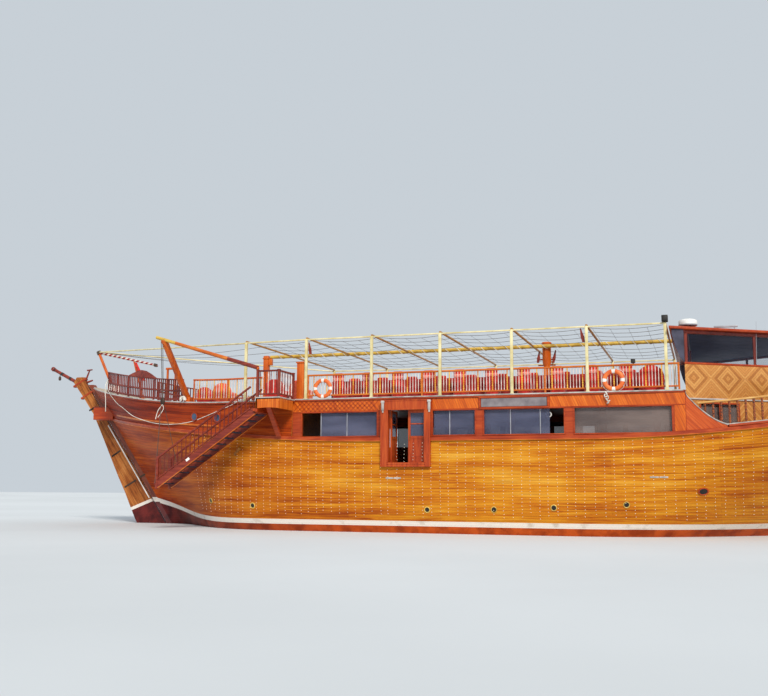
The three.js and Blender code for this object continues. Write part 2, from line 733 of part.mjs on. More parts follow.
// Port bulwark of the fore well with its cap plank and rail
function foreBulwark() {
  const xs = stationsOf(curves.waleHigh, 9300, 16700);
  const line = (x) => capHalf(x) - wallThick / 2;
  const cap = ribbon(xs.map((x) => (
    { x, y: [line(x) - 110, line(x) + 150], z: [capHeight(x) + seat, capHeight(x) + 75] })));
  const tongue = ribbon(xs.map((x) => (
    { x, y: [line(x) - 60, line(x) + 60], z: [capHeight(x) - lap, capHeight(x) + 20] })));
  const planks = common(plankedHull, overFloor(seat, [seat / 2, 6000]));
  const pieces = [planks, tongue, cap, railPlank(xs.map((x) => [x, line(x)]), capHeight, 790, 80, 70)];
  for (let x = 9380; x < 16700; x += 720) {
    pieces.push(box(x - 28, x + 28, line(x) - 28, line(x) + 28, capHeight(x) + 30, capHeight(x) + 800));
  }
  return fuse(pieces);
}

// Curved plank wing between the saloon wall and the fore bulwark
function wing() {
  const top = [
    [bulkheadFore + seat, 4580], [8090, 4470], [8180, 4360], [8330, 4190], [8500, 4020],
    [8700, 3850], [8900, 3710], [9100, 3610], [9270, 3540],
  ];
  const rows = top.map(([x, high]) => (
    { x, y: [capHalf(x) - wallThick + 20, capHalf(x) - 30], z: [capHeight(x) + seat + 6, high] }));
  return ribbon(rows);
}

// Net frame over the upper deck

const netPosts = [-3, -2, -1, 0, 1, 2, 3].map((step) => step * postSpacing);
const netLine = (x) => (x < -7000 ? 4520 : 4700);

function netSide() {
  const pieces = netPosts.map((x) => {
    const y = netLine(x);
    const reach = postSize / 2;
    return box(x - reach, x + reach, y - reach, y + reach, footing(x, reach), netHeight - 20);
  });
  for (let i = 0; i + 1 < netPosts.length; i += 1) {
    const [x0, x1] = [netPosts[i], netPosts[i + 1]];
    const ends = [x0 - (i === 0 ? postSize / 2 : 0), x1 + (i === netPosts.length - 2 ? postSize / 2 : 0)];
    pieces.push(beam([ends[0], netLine(x0), netHeight - 25], [ends[1], netLine(x1), netHeight - 25], 50, 50));
  }
  return fuse(pieces);
}

const mastRadius = 165;
const ridgeRadius = 70;
const ridgeLine = -mastRadius - ridgeRadius - seat; // the ridge spar lies against the mast stump

function netBeams() {
  const pieces = netPosts.map((x) => (
    beam([x, -netLine(x), netHeight + 30], [x, netLine(x), netHeight + 30], 70, 60 - 2 * seat)));
  pieces.push(rod([-8500, ridgeLine, netHeight + 40], [7600, ridgeLine, netHeight + 40], ridgeRadius, 10));
  return fuse(pieces);
}

const sternPole = { foot: -16150, head: -17090, top: 7520 };

// Stern pole, its two rails to the side posts, and the striped spar that leans on it
function netAftFrame() {
  const sideEnd = netPosts[0] - postSize / 2 - seat;
  const foot = footing(sternPole.foot, 60);
  const pole = beam([sternPole.foot, 0, foot + 40], [sternPole.head, 0, sternPole.top], 100, 100);
  const shoe = box(sternPole.foot - 60, sternPole.foot + 60, -60, 60, foot, foot + 180);
  const rails = [-1, 1].map((side) => (
    rod([sternPole.head + 20, 0, sternPole.top - 40], [sideEnd - 14, side * 4515, netHeight - 30], 28, 8)));
  const spar = rod([sternPole.head + 30, 0, sternPole.top - 60], [-14060, 0, 6780], 60, 8, 45);
  const prop = beam([-14700, 0, deckHeight(-14700) + 60], [-15230, 0, 7030], 70, 70);
  const propShoe = box(-14760, -14640, -50, 50, footing(-14700, 60), deckHeight(-14700) + 140);
  return fuse(pole, shoe, rails, spar, prop, propShoe);
}

// Square post under the ridge spar's heel
function heelPost() {
  const x = -8680;
  const post = box(x - 110, x + 110, ridgeLine - 110, ridgeLine + 110, footing(x, 110), 6960);
  const step = box(x + 90, x + 260, ridgeLine - 80, ridgeLine + 80, 6560, netHeight + 40 - ridgeRadius - seat);
  return fuse(post, step);
}

// Boarding ladder, its platform and its davit

const platform = { aft: -6300, fore: -5400, outer: 6100, top: 4640, inner: 4780, boardLow: 4250, railTop: 5620 };
const ladder = { x: -6400, z: 4215, footX: -10290, footZ: 1560, inner: 4960, outer: 5940 };

function boardingPlatform() {
  const edge = stationsOf(curves.deckEdge, platform.aft, platform.fore).map((x) => [x, -(deckHalf(x) + seat)]);
  const floor = prismZ([
    [platform.aft, -platform.outer], [platform.fore, -platform.outer], ...edge.reverse(),
  ], platform.top - 70, platform.top);
  const board = 60;
  const outerBoard = box(platform.aft, platform.fore, -platform.outer, -platform.outer + board, platform.boardLow, platform.top);
  const foreBoard = box(platform.fore - board, platform.fore, -platform.outer, -4900, platform.boardLow, platform.top);
  const pieces = [floor, outerBoard, foreBoard];
  // One broad knee from the wale to the outer board
  const kneeWidth = 180;
  const waleFace = capHalf(-5920) + waleProud + 14;
  const knee = [[-waleFace, 3330], [-waleFace - 80, 3330], [-6020, 4300], [-6020, 4600], [-waleFace, 4600]];
  const plate = new THREE.ExtrudeGeometry(shapeOf(knee, []), { depth: kneeWidth, bevelEnabled: false });
  plate.applyMatrix4(new THREE.Matrix4().makeBasis(
    new THREE.Vector3(0, 1, 0), new THREE.Vector3(0, 0, 1), new THREE.Vector3(1, 0, 0)));
  plate.translate(-5920 - kneeWidth / 2, 0, 0);
  pieces.push(plate);
  // Newel posts, outer rail and fore rail
  const newel = 90;
  const { railTop } = platform;
  for (const x of [platform.aft, platform.fore - newel]) {
    pieces.push(box(x, x + newel, -platform.outer, -platform.outer + newel, platform.top - 20, railTop));
  }
  pieces.push(box(platform.fore - newel, platform.fore, -platform.inner - newel, -platform.inner, platform.top - 20, railTop));
  const railLow = railTop - 80;
  const railHigh = railTop - 10;
  pieces.push(box(platform.aft, platform.fore, -platform.outer + 10, -platform.outer + 80, railLow, railHigh));
  pieces.push(box(platform.fore - 80, platform.fore - 10, -platform.outer + 10, -platform.inner - 10, railLow, railHigh));
  const baluster = (x, y) => box(x - 22, x + 22, y - 22, y + 22, platform.top - 20, railLow + 20);
  for (let x = platform.aft + 240; x < platform.fore - 150; x += 210) pieces.push(baluster(x, -platform.outer + 45));
  for (let y = -platform.outer + 260; y < -platform.inner - 150; y += 210) pieces.push(baluster(platform.fore - 45, y));
  // Lugs and bar that carry the ladder
  for (const y of [-ladder.outer - 75, -5450, -ladder.inner + 10]) {
    pieces.push(box(ladder.x - 45, platform.aft + 20, y, y + 60, ladder.z - 50, ladder.z + 50));
  }
  pieces.push(box(platform.aft - 2, platform.aft + board, -platform.outer, -4950, 4130, platform.top - 20));
  pieces.push(rod([ladder.x, -ladder.outer - 70, ladder.z], [ladder.x, -ladder.inner + 65, ladder.z], 22, 16));
  return fuse(pieces);
}

function boardingLadder() {
  const top = [ladder.x, ladder.z];
  const foot = [ladder.footX, ladder.footZ];
  const onSlope = (share) => [
    THREE.MathUtils.lerp(top[0], foot[0], share), THREE.MathUtils.lerp(top[1], foot[1], share)];
  const pieces = [];
  const bores = [];
  for (const [y0, y1] of [[-ladder.outer, -ladder.outer + 55], [-ladder.inner - 55, -ladder.inner]]) {
    const y = (y0 + y1) / 2;
    const start = onSlope(0.012);
    pieces.push(beam([start[0], y, start[1]], [foot[0], y, foot[1]], 55, 230));
    pieces.push(rod([top[0], y0, top[1]], [top[0], y1, top[1]], 60, 16));
    bores.push(rod([top[0], y0 - 10, top[1]], [top[0], y1 + 10, top[1]], 22.9, 16));
    const railStart = onSlope(0.05);
    const railEnd = onSlope(0.985);
    pieces.push(beam(
      [railStart[0], y, railStart[1] + 960], [railEnd[0], y, railEnd[1] + 960], 65, 70));
    for (let i = 0; i <= 8; i += 1) {
      const at = onSlope(0.06 + (0.92 * i) / 8);
      pieces.push(box(at[0] - 22, at[0] + 22, y - 22, y + 22, at[1] - 60, at[1] + 970));
    }
  }
  for (let i = 0; i < 13; i += 1) {
    const at = onSlope(0.05 + (0.92 * i) / 12);
    pieces.push(box(at[0] - 130, at[0] + 130, -ladder.outer + 20, -ladder.inner - 20, at[1] - 20, at[1] + 20));
  }
  const newel = onSlope(0.985);
  for (const y of [-ladder.outer + 27, -ladder.inner - 27]) {
    pieces.push(box(newel[0] - 45, newel[0] + 45, y - 45, y + 45, newel[1] - 150, newel[1] + 1010));
  }
  return cut(fuse(pieces), bores);
}

// Raked post on the deck edge that carries the lashed spar over the ladder's foot
function davit() {
  const tip = [-10880, -5250, 7090];
  const heel = [-6270, -6055, 5690];
  const spar = rod(heel, tip, 75, 10, 60);
  const share = 0.035;
  const crutch = tip.map((value, i) => THREE.MathUtils.lerp(value, heel[i], share + 0.04));
  const footX = -10180;
  const post = beam([footX, -3960, deckHeight(footX) + 70], crutch, 190, 190);
  const shoe = box(footX - 130, footX + 130, -4110, -3810, footing(footX, 130), deckHeight(footX) + 190);
  const heelShoe = box(heel[0] - 30, heel[0] + 60, -6098, -6012, platform.railTop + seat, 5720);
  return fuse(spar, post, shoe, heelShoe);
}

// Stern gear

// Open-topped box hung on the starboard quarter, beside the sternpost
function sternBox() {
  const side = { x0: -16430, x1: -15450, y0: -1090, y1: -430, low: 4370, high: 4910 };
  const plank = 40;
  const outer = box(side.x0, side.x1, side.y0, side.y1, side.low, side.high);
  const inner = box(side.x0 + plank, side.x1 - plank, side.y0 + plank, side.y1 - plank, side.low + plank, side.high + 50);
  const neighbours = [hullShell(), mirrored(wale(-Infinity, doorFrame.from))];
  const shifts = [[-0.5, 0, 0], [0, -0.5, 0], [0, 0, -0.5], [0, 0, 0.5], [-0.5, -0.5, 0]];
  const clear = neighbours.flatMap((piece) => shifts.map((shift) => piece.clone().translate(...shift)));
  return cut(outer, inner, clear);
}

function rudder() {
  const foreFoot = -1650;
  const foreHead = 6080;
  const outline = [
    [hingeX(foreFoot) - rudderGap, foreFoot], [hingeX(foreHead) - rudderGap, foreHead], [-17730, 6370],
    [-18108, 6370], [-18243, 6133], [-17683, 5446], [-17110, 4672], [-16530, 3560], [-16130, 2766],
    [-15690, 1906], [-15350, 1296], [-15020, 619], [-14800, 184], [-14300, -700], [-13980, -1620],
  ];
  const notches = gudgeonHeights.map((z) => rod(onHinge(z, -95), onHinge(z, 95), 66, 10));
  const blade = cut(prismY(outline, -80, 80), notches);
  const pieces = [blade];
  for (const z of gudgeonHeights) {
    pieces.push(rod(onHinge(z, -160), onHinge(z, 160), pintleRadius, 10));
    for (const [low, high] of [[-170, -gudgeonLength / 2 - collarGap], [gudgeonLength / 2 + seat, 170]]) {
      pieces.push(rod(onHinge(z, low), onHinge(z, high), 36, 8));
      const middle = low < 0 ? -130 : 130;
      const from = onHinge(z, middle);
      pieces.push(beam(from, [from[0] - 110, 0, from[2] - 60], 70, 60));
    }
  }
  return fuse(pieces);
}

// Pole let into the aft edge of the rudder head
function tiller() {
  const pole = rod([-18060, 0, 6110], [-19460, 0, 6810], 78, 10, 70);
  const head = prismY([
    [-17400, 6000], [-17400, 6370 + seat], [-18108 - seat, 6370 + seat], [-18243 - 2 * seat, 6133], [-17900, 5700],
  ], -200, 200);
  return cut(pole, head);
}

function sternTube() {
  const body = rod([race.fore - seat, 0, race.axis], [-11290, 0, race.axis], 130, 16);
  return cut(body, rod([race.fore + 10, 0, race.axis], [-11300, 0, race.axis], 41.2, 16));
}

function propeller() {
  const hub = rod([-11290 - seat, 0, race.axis], [-11640, 0, race.axis], 120, 16, 70);
  const shaft = rod([race.fore - 8, 0, race.axis], [-11400, 0, race.axis], 40, 16);
  const blade = [[60, -50], [200, -130], [360, -180], [500, -130], [545, 0], [500, 130], [360, 180], [200, 130], [60, 50]];
  const pieces = [hub, shaft];
  for (let i = 0; i < 4; i += 1) {
    const plate = new THREE.ExtrudeGeometry(shapeOf(blade, []), { depth: 26, bevelEnabled: false });
    plate.translate(0, 0, -13);
    plate.rotateX(THREE.MathUtils.degToRad(38));
    plate.applyMatrix4(new THREE.Matrix4().makeBasis(
      new THREE.Vector3(0, 0, 1), new THREE.Vector3(0, 1, 0), new THREE.Vector3(-1, 0, 0)));
    plate.rotateX((i / 4) * 2 * Math.PI);
    plate.translate(-11450, 0, race.axis);
    pieces.push(plate);
  }
  return fuse(pieces);
}

function mastStump() {
  const x = 2960;
  const column = rod([x, 0, deckTop + seat], [x, 0, 6995], mastRadius, 12);
  const cap = rod([x, 0, 6990], [x, 0, 7080], 195, 12);
  const pins = [6200, 6420].map((z) => rod([x - 330, 0, z], [x + 330, 0, z], 28, 8));
  return fuse(column, cap, pins);
}

// Long cloth-covered table with covered chairs tucked in on both sides
function seatingRow() {
  const table = { from: -4500, to: 6700, y0: 2750, y1: 3550, top: deckTop + 740 };
  const base = deckTop + seat;
  const pieces = [box(table.from, table.to, table.y0, table.y1, base, table.top)];
  for (let x = table.from + 500; x < table.to; x += 1130) {
    for (const [near, out] of [[table.y0 + 10, -1], [table.y1 - 10, 1]]) {
      const far = near + out * 500;
      const y = [near, far].sort((a, b) => a - b);
      const back = [far - out * 90, far].sort((a, b) => a - b);
      pieces.push(box(x - 230, x + 230, y[0], y[1], base, deckTop + 460));
      pieces.push(box(x - 230, x + 230, back[0], back[1], deckTop + 200, deckTop + 980));
    }
  }
  return fuse(pieces);
}

// Ring buoy hung outside the rail, on the starboard side
function lifebuoy(x) {
  const section = [];
  for (let i = 0; i <= 8; i += 1) {
    const angle = ((i + 0.5) / 8) * 2 * Math.PI;
    section.push(new THREE.Vector2(290 + 70 * Math.cos(angle), 50 * Math.sin(angle)));
  }
  const ring = new THREE.LatheGeometry(section, 16);
  ring.translate(x, -railLine - stanchionHalf - 50 * Math.cos(Math.PI / 8) - seat, 5040);
  return ring;
}

// Free white rope from the stern to the ladder's platform
const ropeRoute = [
  [-15148, -1994, 5905], [-15000, -2230, 5630], [-14850, -2300, 5370], [-14480, -2310, 4960],
  [-14100, -2430, 4740], [-13400, -2760, 4370], [-12700, -3065, 4160], [-12000, -3395, 4010], [-11300, -3660, 3930],
  [-10600, -3940, 3920], [-9900, -4120, 3990], [-9300, -4275, 4140], [-8700, -4430, 4320], [-8100, -4515, 4520],
  [-7800, -4610, 4640], [-7500, -4640, 4740], [-7200, -4610, 4860], [-6950, -4570, 4980], [-6730, -4524.4, 5075],
];

function mooringRope() {
  const path = new THREE.CatmullRomCurve3(ropeRoute.map((point) => new THREE.Vector3(...point)));
  const section = [];
  for (let i = 0; i < 8; i += 1) {
    const angle = (i / 8) * 2 * Math.PI;
    section.push(new THREE.Vector2(12 * Math.cos(angle), 12 * Math.sin(angle)));
  }
  return new THREE.ExtrudeGeometry(new THREE.Shape(section), { steps: 60, extrudePath: path, bevelEnabled: false });
}

// Assembly

const dhow = new THREE.Group();
const finishes = {
  teak: [0xb87a35, 0.45, 0], redwood: [0xa2441c, 0.4, 0], maroon: [0x6a2a22, 0.5, 0], paleYellow: [0xd8c98a, 0.55, 0],
  orange: [0xd0672a, 0.4, 0], deckGrey: [0xb9b6b0, 0.7, 0], glass: [0x5b6c78, 0.1, 0], white: [0xe8e6e0, 0.4, 0],
  bronze: [0x8a6d3b, 0.35, 1], redCloth: [0xb3261e, 0.8, 0], rope: [0xd9d4c5, 0.8, 0],
};

function add(name, finish, geometry) {
  const [color, roughness, metalness] = finishes[finish];
  const mesh = new THREE.Mesh(geometry, new THREE.MeshStandardMaterial({ color, roughness, metalness }));
  mesh.name = name;
  dhow.add(mesh);
}

// Adds a piece made on the port side, and its mirror image to starboard
function addPair(name, finish, geometry) {
  add(`${name}_port`, finish, geometry);
  add(`${name}_starboard`, finish, mirrored(geometry));
}

add('hull', 'teak', hull());
add('keel_and_posts', 'redwood', keelAndPosts());
addPair('wale_aft', 'orange', wale(-Infinity, doorFrame.from - seat));
addPair('wale_fore', 'orange', wale(doorFrame.to + seat, Infinity));
add('upper_deck', 'deckGrey', upperDeck());
addPair('saloon_wall', 'redwood', saloonWall());
addPair('glass_aft', 'glass', aftGlass());
addPair('glass_fore', 'glass', foreGlass());
addPair('door_frame', 'redwood', doorFramePort());
addPair('wing', 'redwood', wing());

const aftLeaf = doorLeaf(doorway.from, doorMiddle);
const foreLeaf = doorLeaf(doorway.to, doorMiddle);
const aftPivotX = doorway.from + 16;
add('door_aft_port', 'redwood', aftLeaf);
add('door_fore_port', 'redwood', foreLeaf);
add('door_fore_starboard', 'redwood', mirrored(foreLeaf));
add('door_aft_starboard', 'redwood', swung(mirrored(aftLeaf), aftPivotX, -pivotLine, Math.PI / 2));

add('fore_house', 'teak', foreHouseWalls());
addPair('fore_house_glass', 'glass', foreHouseGlass());
add('wheelhouse_walls', 'teak', wheelhouseWalls());
add('wheelhouse_frame', 'redwood', wheelhouseFrame());
add('wheelhouse_glass', 'glass', wheelhouseGlass());
add('wheelhouse_roof', 'redwood', wheelhouseRoof());
add('wheelhouse_door', 'redwood', wheelhouseDoor());
add('radar_dome', 'white', radarDome());
add('roof_box', 'white', roofBox());
add('helm_stand', 'redwood', helmStand());
add('helm_wheel', 'teak', helmWheel());

add('upper_rail_port', 'orange', upperRail(-4980));
add('upper_rail_starboard', 'orange', mirrored(gatedRail()));
add('aft_rail_port', 'orange', aftRail(-10300, -5100));
add('aft_rail_starboard', 'orange', mirrored(aftRail(-9930, -6700)));
addPair('poop_rail', 'maroon', poopRail());
addPair('fore_bulwark', 'maroon', foreBulwark());
addPair('net_side', 'paleYellow', netSide());
add('net_beams', 'paleYellow', netBeams());
add('net_aft_frame', 'paleYellow', netAftFrame());
add('heel_post', 'orange', heelPost());
add('boarding_platform', 'redwood', boardingPlatform());
add('boarding_ladder', 'maroon', boardingLadder());
add('davit', 'orange', davit());
add('stern_box', 'redwood', sternBox());
add('rudder', 'teak', rudder());
add('tiller', 'orange', tiller());
add('stern_tube', 'bronze', sternTube());
add('propeller', 'bronze', propeller());
add('mast_stump', 'orange', mastStump());
addPair('seating', 'redCloth', seatingRow());
add('lifebuoy_aft', 'orange', lifebuoy(-4350));
add('lifebuoy_fore', 'orange', lifebuoy(5830));
add('mooring_rope', 'rope', mooringRope());

export default dhow;
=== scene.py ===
"""Looks of the dhow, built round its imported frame.

Metres. +X towards the bow, +Y to port, +Z up. The origin is on the centreline at the waterline.
"""
import math
import random

import bpy
import numpy as np
from mathutils import Matrix, Vector


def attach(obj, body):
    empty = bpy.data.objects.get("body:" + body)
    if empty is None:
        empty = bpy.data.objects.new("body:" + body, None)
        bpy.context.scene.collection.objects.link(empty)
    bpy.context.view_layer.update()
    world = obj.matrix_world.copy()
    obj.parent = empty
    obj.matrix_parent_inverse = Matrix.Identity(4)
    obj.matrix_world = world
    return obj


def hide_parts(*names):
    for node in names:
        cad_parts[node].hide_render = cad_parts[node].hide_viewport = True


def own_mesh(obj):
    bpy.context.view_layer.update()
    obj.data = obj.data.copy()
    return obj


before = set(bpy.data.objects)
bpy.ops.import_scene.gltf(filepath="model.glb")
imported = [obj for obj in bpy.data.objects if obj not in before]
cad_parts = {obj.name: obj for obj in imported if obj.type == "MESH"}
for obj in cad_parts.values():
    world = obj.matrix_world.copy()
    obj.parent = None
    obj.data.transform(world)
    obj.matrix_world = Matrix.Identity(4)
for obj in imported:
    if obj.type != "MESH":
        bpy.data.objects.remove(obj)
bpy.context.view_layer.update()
draw = random.Random(7)

# Heights and lines of the boat, as in its frame

DECK_TOP = 4.67
DECK_THICK = 0.08
DECK_OVERHANG = 0.05
WALE_TOP = 3.26
WALE_PROUD = 0.06
WALL_THICK = 0.16
SALOON_FLOOR = 2.35
SALOON_AFT = -5.5
SALOON_FORE = 7.85
BULKHEAD_FORE = 8.05
WELL_END = 15.7
WELL_DEPTH = 0.52
WALL_OUTER = 4.70
# between faces that would otherwise coincide
HAIR = 0.0003
POST_HALF = 0.11
HINGE_FOOT = -13.285
HINGE_RAKE = -0.705
POST_FORE_GAP = 0.32
STEM_FOOT = 12.6
STEM_RAKE = 1.02
RAIL_LINE = 4.60
RAIL_HEIGHT = 0.89
NET_HEIGHT = 6.86
NET_POSTS = [2.5 * step for step in range(-3, 4)]
WINDOW_LOW = 3.33
WINDOW_HIGH = 4.16
WINDOWS = [(-5.13, -2.29), (-0.27, 1.21), (1.52, 4.20), (4.55, 7.61)]
DOORWAY = {"from": -1.83, "to": -0.50, "low": 2.37, "high": 4.21}
DOOR_FRAME = {"from": -2.09, "to": -0.30, "low": 2.24, "high": 4.55}

# Level curves of the hull: height, half-breadth, share of the sheer, then the start and the
# two exponents of the taper aft and fore
LEVELS = [
    {"z": -1.55, "half": 0.15, "sheer": 0.0, "aft": (-3, 4, 3.5), "fore": (2, 3, 3)},
    {"z": -1.25, "half": 2.30, "sheer": 0.0, "aft": (-2, 4, 3.8), "fore": (2, 3, 2.8)},
    {"z": -0.65, "half": 3.90, "sheer": 0.0, "aft": (-2, 4, 3.4), "fore": (2, 3, 2.5)},
    {"z": 0.00, "half": 4.50, "sheer": 0.0, "aft": (-4, 4, 2.6), "fore": (3, 3, 2.2)},
    {"z": 1.00, "half": 4.74, "sheer": 0.15, "aft": (-4, 3.4, 2), "fore": (4, 2.7, 1.6)},
    {"z": 2.20, "half": 4.80, "sheer": 0.55, "aft": (-4, 2.8, 1.3), "fore": (5, 2.5, 1.1)},
    {"z": 3.12, "half": 4.80, "sheer": 1.0, "aft": (-4, 2.4, 0.85), "fore": (6, 2.3, 0.78)},
    {"z": 3.26, "half": 4.80, "sheer": 1.0, "aft": (-4, 2.4, 0.85), "fore": (6, 2.3, 0.78)},
    {"z": 4.5897, "half": 4.71, "sheer": 0.0, "aft": (-4, 2.3, 0.74), "fore": (6, 2.3, 0.78)},
]
WALE_LOW_LEVEL, WALE_HIGH_LEVEL, DECK_LEVEL = 6, 7, 8


def wale_rise(x):
    if x < -2:
        return 1.17 * ((-2 - x) / 13.5) ** 2
    if x > 5:
        return 1.6 * ((x - 5) / 12.5) ** 1.9
    return 0.0


def deck_rise(x):
    if x < -8:
        return 1.2 * ((-8 - x) / 9) ** 2
    if x > 8:
        return 0.7 * ((x - 8) / 9) ** 2
    return 0.0


def level_height(index, x):
    if index == DECK_LEVEL:
        return LEVELS[index]["z"] + deck_rise(x)
    return LEVELS[index]["z"] + LEVELS[index]["sheer"] * wale_rise(x)


def level_ends(index):
    aft, fore = HINGE_FOOT, STEM_FOOT
    for _ in range(40):
        aft = HINGE_FOOT + HINGE_RAKE * level_height(index, aft) + POST_FORE_GAP
        fore = STEM_FOOT + STEM_RAKE * level_height(index, fore)
    return aft, fore


ENDS = [level_ends(index) for index in range(len(LEVELS))]


def level_half(index, x):
    """Half-breadth of a level curve at x."""
    level = LEVELS[index]
    if x < level["aft"][0]:
        start, power, fullness = level["aft"]
        share = (start - x) / (start - ENDS[index][0])
    elif x > level["fore"][0]:
        start, power, fullness = level["fore"]
        share = (x - start) / (ENDS[index][1] - start)
    else:
        return level["half"]
    share = min(1.0, max(0.0, share))
    return POST_HALF + (level["half"] - POST_HALF) * (1 - share**power) ** fullness


def station_point(index, run):
    """Point of a level curve; run goes from -1 at the sternpost over 0 to 1 at the stem."""
    level = LEVELS[index]
    middle = 0.2
    if run < -middle:
        share = (-run - middle) / (1 - middle)
        x = level["aft"][0] + (ENDS[index][0] - level["aft"][0]) * share
    elif run > middle:
        share = (run - middle) / (1 - middle)
        x = level["fore"][0] + (ENDS[index][1] - level["fore"][0]) * share
    else:
        x = level["aft"][0] + (level["fore"][0] - level["aft"][0]) * (run + middle) / (2 * middle)
    return Vector((x, level_half(index, x), level_height(index, x)))


def smooth_between(values, at):
    """Value at a fractional index, on a curve through the values that never overshoots them."""
    count = len(values)
    i = min(int(at), count - 2)
    t = at - i
    steps = [values[k + 1] - values[k] for k in range(count - 1)]

    def slope(k):
        if k == 0 or k == count - 1:
            return steps[0] if k == 0 else steps[-1]
        a, b = steps[k - 1], steps[k]
        return 0.0 if a * b <= 0 else 2 * a * b / (a + b)

    a, b = slope(i), slope(i + 1)
    h = values[i + 1] - values[i]
    return values[i] + a * t + (3 * h - 2 * a - b) * t**2 + (a + b - 2 * h) * t**3


def hull_point(run, level):
    """Point of the port side; level is a fractional index into LEVELS."""
    points = [station_point(index, run) for index in range(len(LEVELS))]
    return Vector([smooth_between([point[axis] for point in points], level) for axis in range(3)])


def side_at(x, z):
    """Half-breadth of the hull at x and z."""
    heights = [level_height(index, x) for index in range(len(LEVELS))]
    halves = [level_half(index, x) for index in range(len(LEVELS))]
    z = min(max(z, heights[0]), heights[-1])
    low, high = 0.0, float(len(LEVELS) - 1)
    for _ in range(24):
        mid = (low + high) / 2
        if smooth_between(heights, mid) < z:
            low = mid
        else:
            high = mid
    return smooth_between(halves, (low + high) / 2)


def deck_height(x):
    return level_height(DECK_LEVEL, x) + DECK_THICK


def deck_half(x):
    return level_half(DECK_LEVEL, x) + DECK_OVERHANG


def cap_height(x):
    return level_height(WALE_HIGH_LEVEL, x) + 0.002


def cap_half(x):
    return level_half(WALE_HIGH_LEVEL, x)


def spaced(start, end, count):
    return [start + (end - start) * i / (count - 1) for i in range(count)]


# Tools for meshes


def deselect():
    if bpy.context.object and bpy.context.object.mode != "OBJECT":
        bpy.ops.object.mode_set(mode="OBJECT")
    for item in bpy.context.selected_objects:
        item.select_set(False)


def pick(*objects):
    deselect()
    for item in objects:
        item.select_set(True)
    bpy.context.view_layer.objects.active = objects[0]


def apply_modifier(piece, kind, **settings):
    pick(piece)
    modifier = piece.modifiers.new(kind.title(), kind)
    for key, value in settings.items():
        setattr(modifier, key, value)
    bpy.ops.object.modifier_apply(modifier=modifier.name)


def close_up(piece, merge=0.0005, fill=True):
    """Merges doubles, closes open ends and turns the faces outwards."""
    pick(piece)
    bpy.ops.object.mode_set(mode="EDIT")
    bpy.ops.mesh.select_all(action="SELECT")
    bpy.ops.mesh.remove_doubles(threshold=merge)
    if fill:
        bpy.ops.mesh.select_all(action="SELECT")
        bpy.ops.mesh.fill_holes(sides=0)
    bpy.ops.mesh.select_all(action="SELECT")
    bpy.ops.mesh.normals_make_consistent(inside=False)
    bpy.ops.object.mode_set(mode="OBJECT")


def grid(name, across, along, place, uv=None):
    """A grid whose corners are put at place(u, v), with u and v from 0 to 1."""
    deselect()
    bpy.ops.mesh.primitive_grid_add(x_subdivisions=across, y_subdivisions=along, size=2)
    piece = bpy.context.object
    piece.name = piece.data.name = name
    shares = [((v.co.x + 1) / 2, (v.co.y + 1) / 2) for v in piece.data.vertices]
    for vertex, (u, v) in zip(piece.data.vertices, shares):
        vertex.co = place(u, v)
    layer = piece.data.uv_layers[0]
    layer.name = "grain"
    if uv:
        for loop in piece.data.loops:
            layer.data[loop.index].uv = uv(*shares[loop.vertex_index])
    return piece


def lofted(name, rings, capped=True, uv=None):
    """Skin over closed rows of points, with its two ends filled where capped."""
    along, across = len(rings) - 1, len(rings[0])

    def place(u, v):
        return rings[round(v * along)][round(u * across) % across]

    piece = grid(name, across, along, place, uv)
    close_up(piece, fill=capped)
    return piece


def turned(name, profile, sides=8):
    """An upright turned solid: the profile holds pairs of radius and height, from foot to head."""
    angles = [2 * math.pi * i / sides for i in range(sides)]
    return lofted(name, [[Vector((radius * math.cos(angle), radius * math.sin(angle), height)) for angle in angles]
                         for radius, height in profile])


def repeated(name, model, places):
    """One mesh with a copy of the model's mesh at each place, a 4 by 4 matrix; the model itself goes."""
    mesh = model.data
    points = np.array([(*v.co, 1.0) for v in mesh.vertices])
    faces = [tuple(polygon.vertices) for polygon in mesh.polygons]
    smooth = [polygon.use_smooth for polygon in mesh.polygons]
    all_points, all_faces = [], []
    for index, place in enumerate(places):
        all_points.append((points @ np.array(place).T)[:, :3])
        shift = index * len(points)
        all_faces.extend(tuple(corner + shift for corner in face) for face in faces)
    made = bpy.data.meshes.new(name)
    made.from_pydata(np.concatenate(all_points).tolist(), [], all_faces)
    made.polygons.foreach_set("use_smooth", smooth * len(places))
    piece = bpy.data.objects.new(name, made)
    bpy.context.collection.objects.link(piece)
    bpy.data.objects.remove(model)
    return piece


def unit_cube(name="cube"):
    deselect()
    bpy.ops.mesh.primitive_cube_add(size=1)
    piece = bpy.context.object
    piece.name = name
    return piece


def block(x, y, z):
    """Place of a unit cube that fills a box given by its ranges."""
    middle = Vector([(pair[0] + pair[1]) / 2 for pair in (x, y, z)])
    size = [abs(pair[1] - pair[0]) for pair in (x, y, z)]
    return Matrix.Translation(middle) @ Matrix.Diagonal((*size, 1))


def stud(x, y, half, z):
    """Place of a square upright round x and y, between two heights."""
    return block((x - half, x + half), (y - half, y + half), z)


def bar(start, end, width, depth):
    """Place of a unit cube that makes a bar between two points."""
    start, end = Vector(start), Vector(end)
    ahead = (end - start).normalized()
    upright = Vector((1, 0, 0)) if abs(ahead.z) > 0.95 else Vector((0, 0, 1))
    side = upright.cross(ahead).normalized()
    up = ahead.cross(side)
    turn = Matrix((ahead, side, up)).transposed().to_4x4()
    size = Matrix.Diagonal(((end - start).length, width, depth, 1))
    return Matrix.Translation((start + end) / 2) @ turn @ size


def blocks(name, places, bevel=0.006, segments=1):
    """Bars and boards in one mesh, with eased edges."""
    piece = repeated(name, unit_cube(), places)
    if bevel:
        apply_modifier(piece, "BEVEL", width=bevel, segments=segments, limit_method="ANGLE")
    return piece


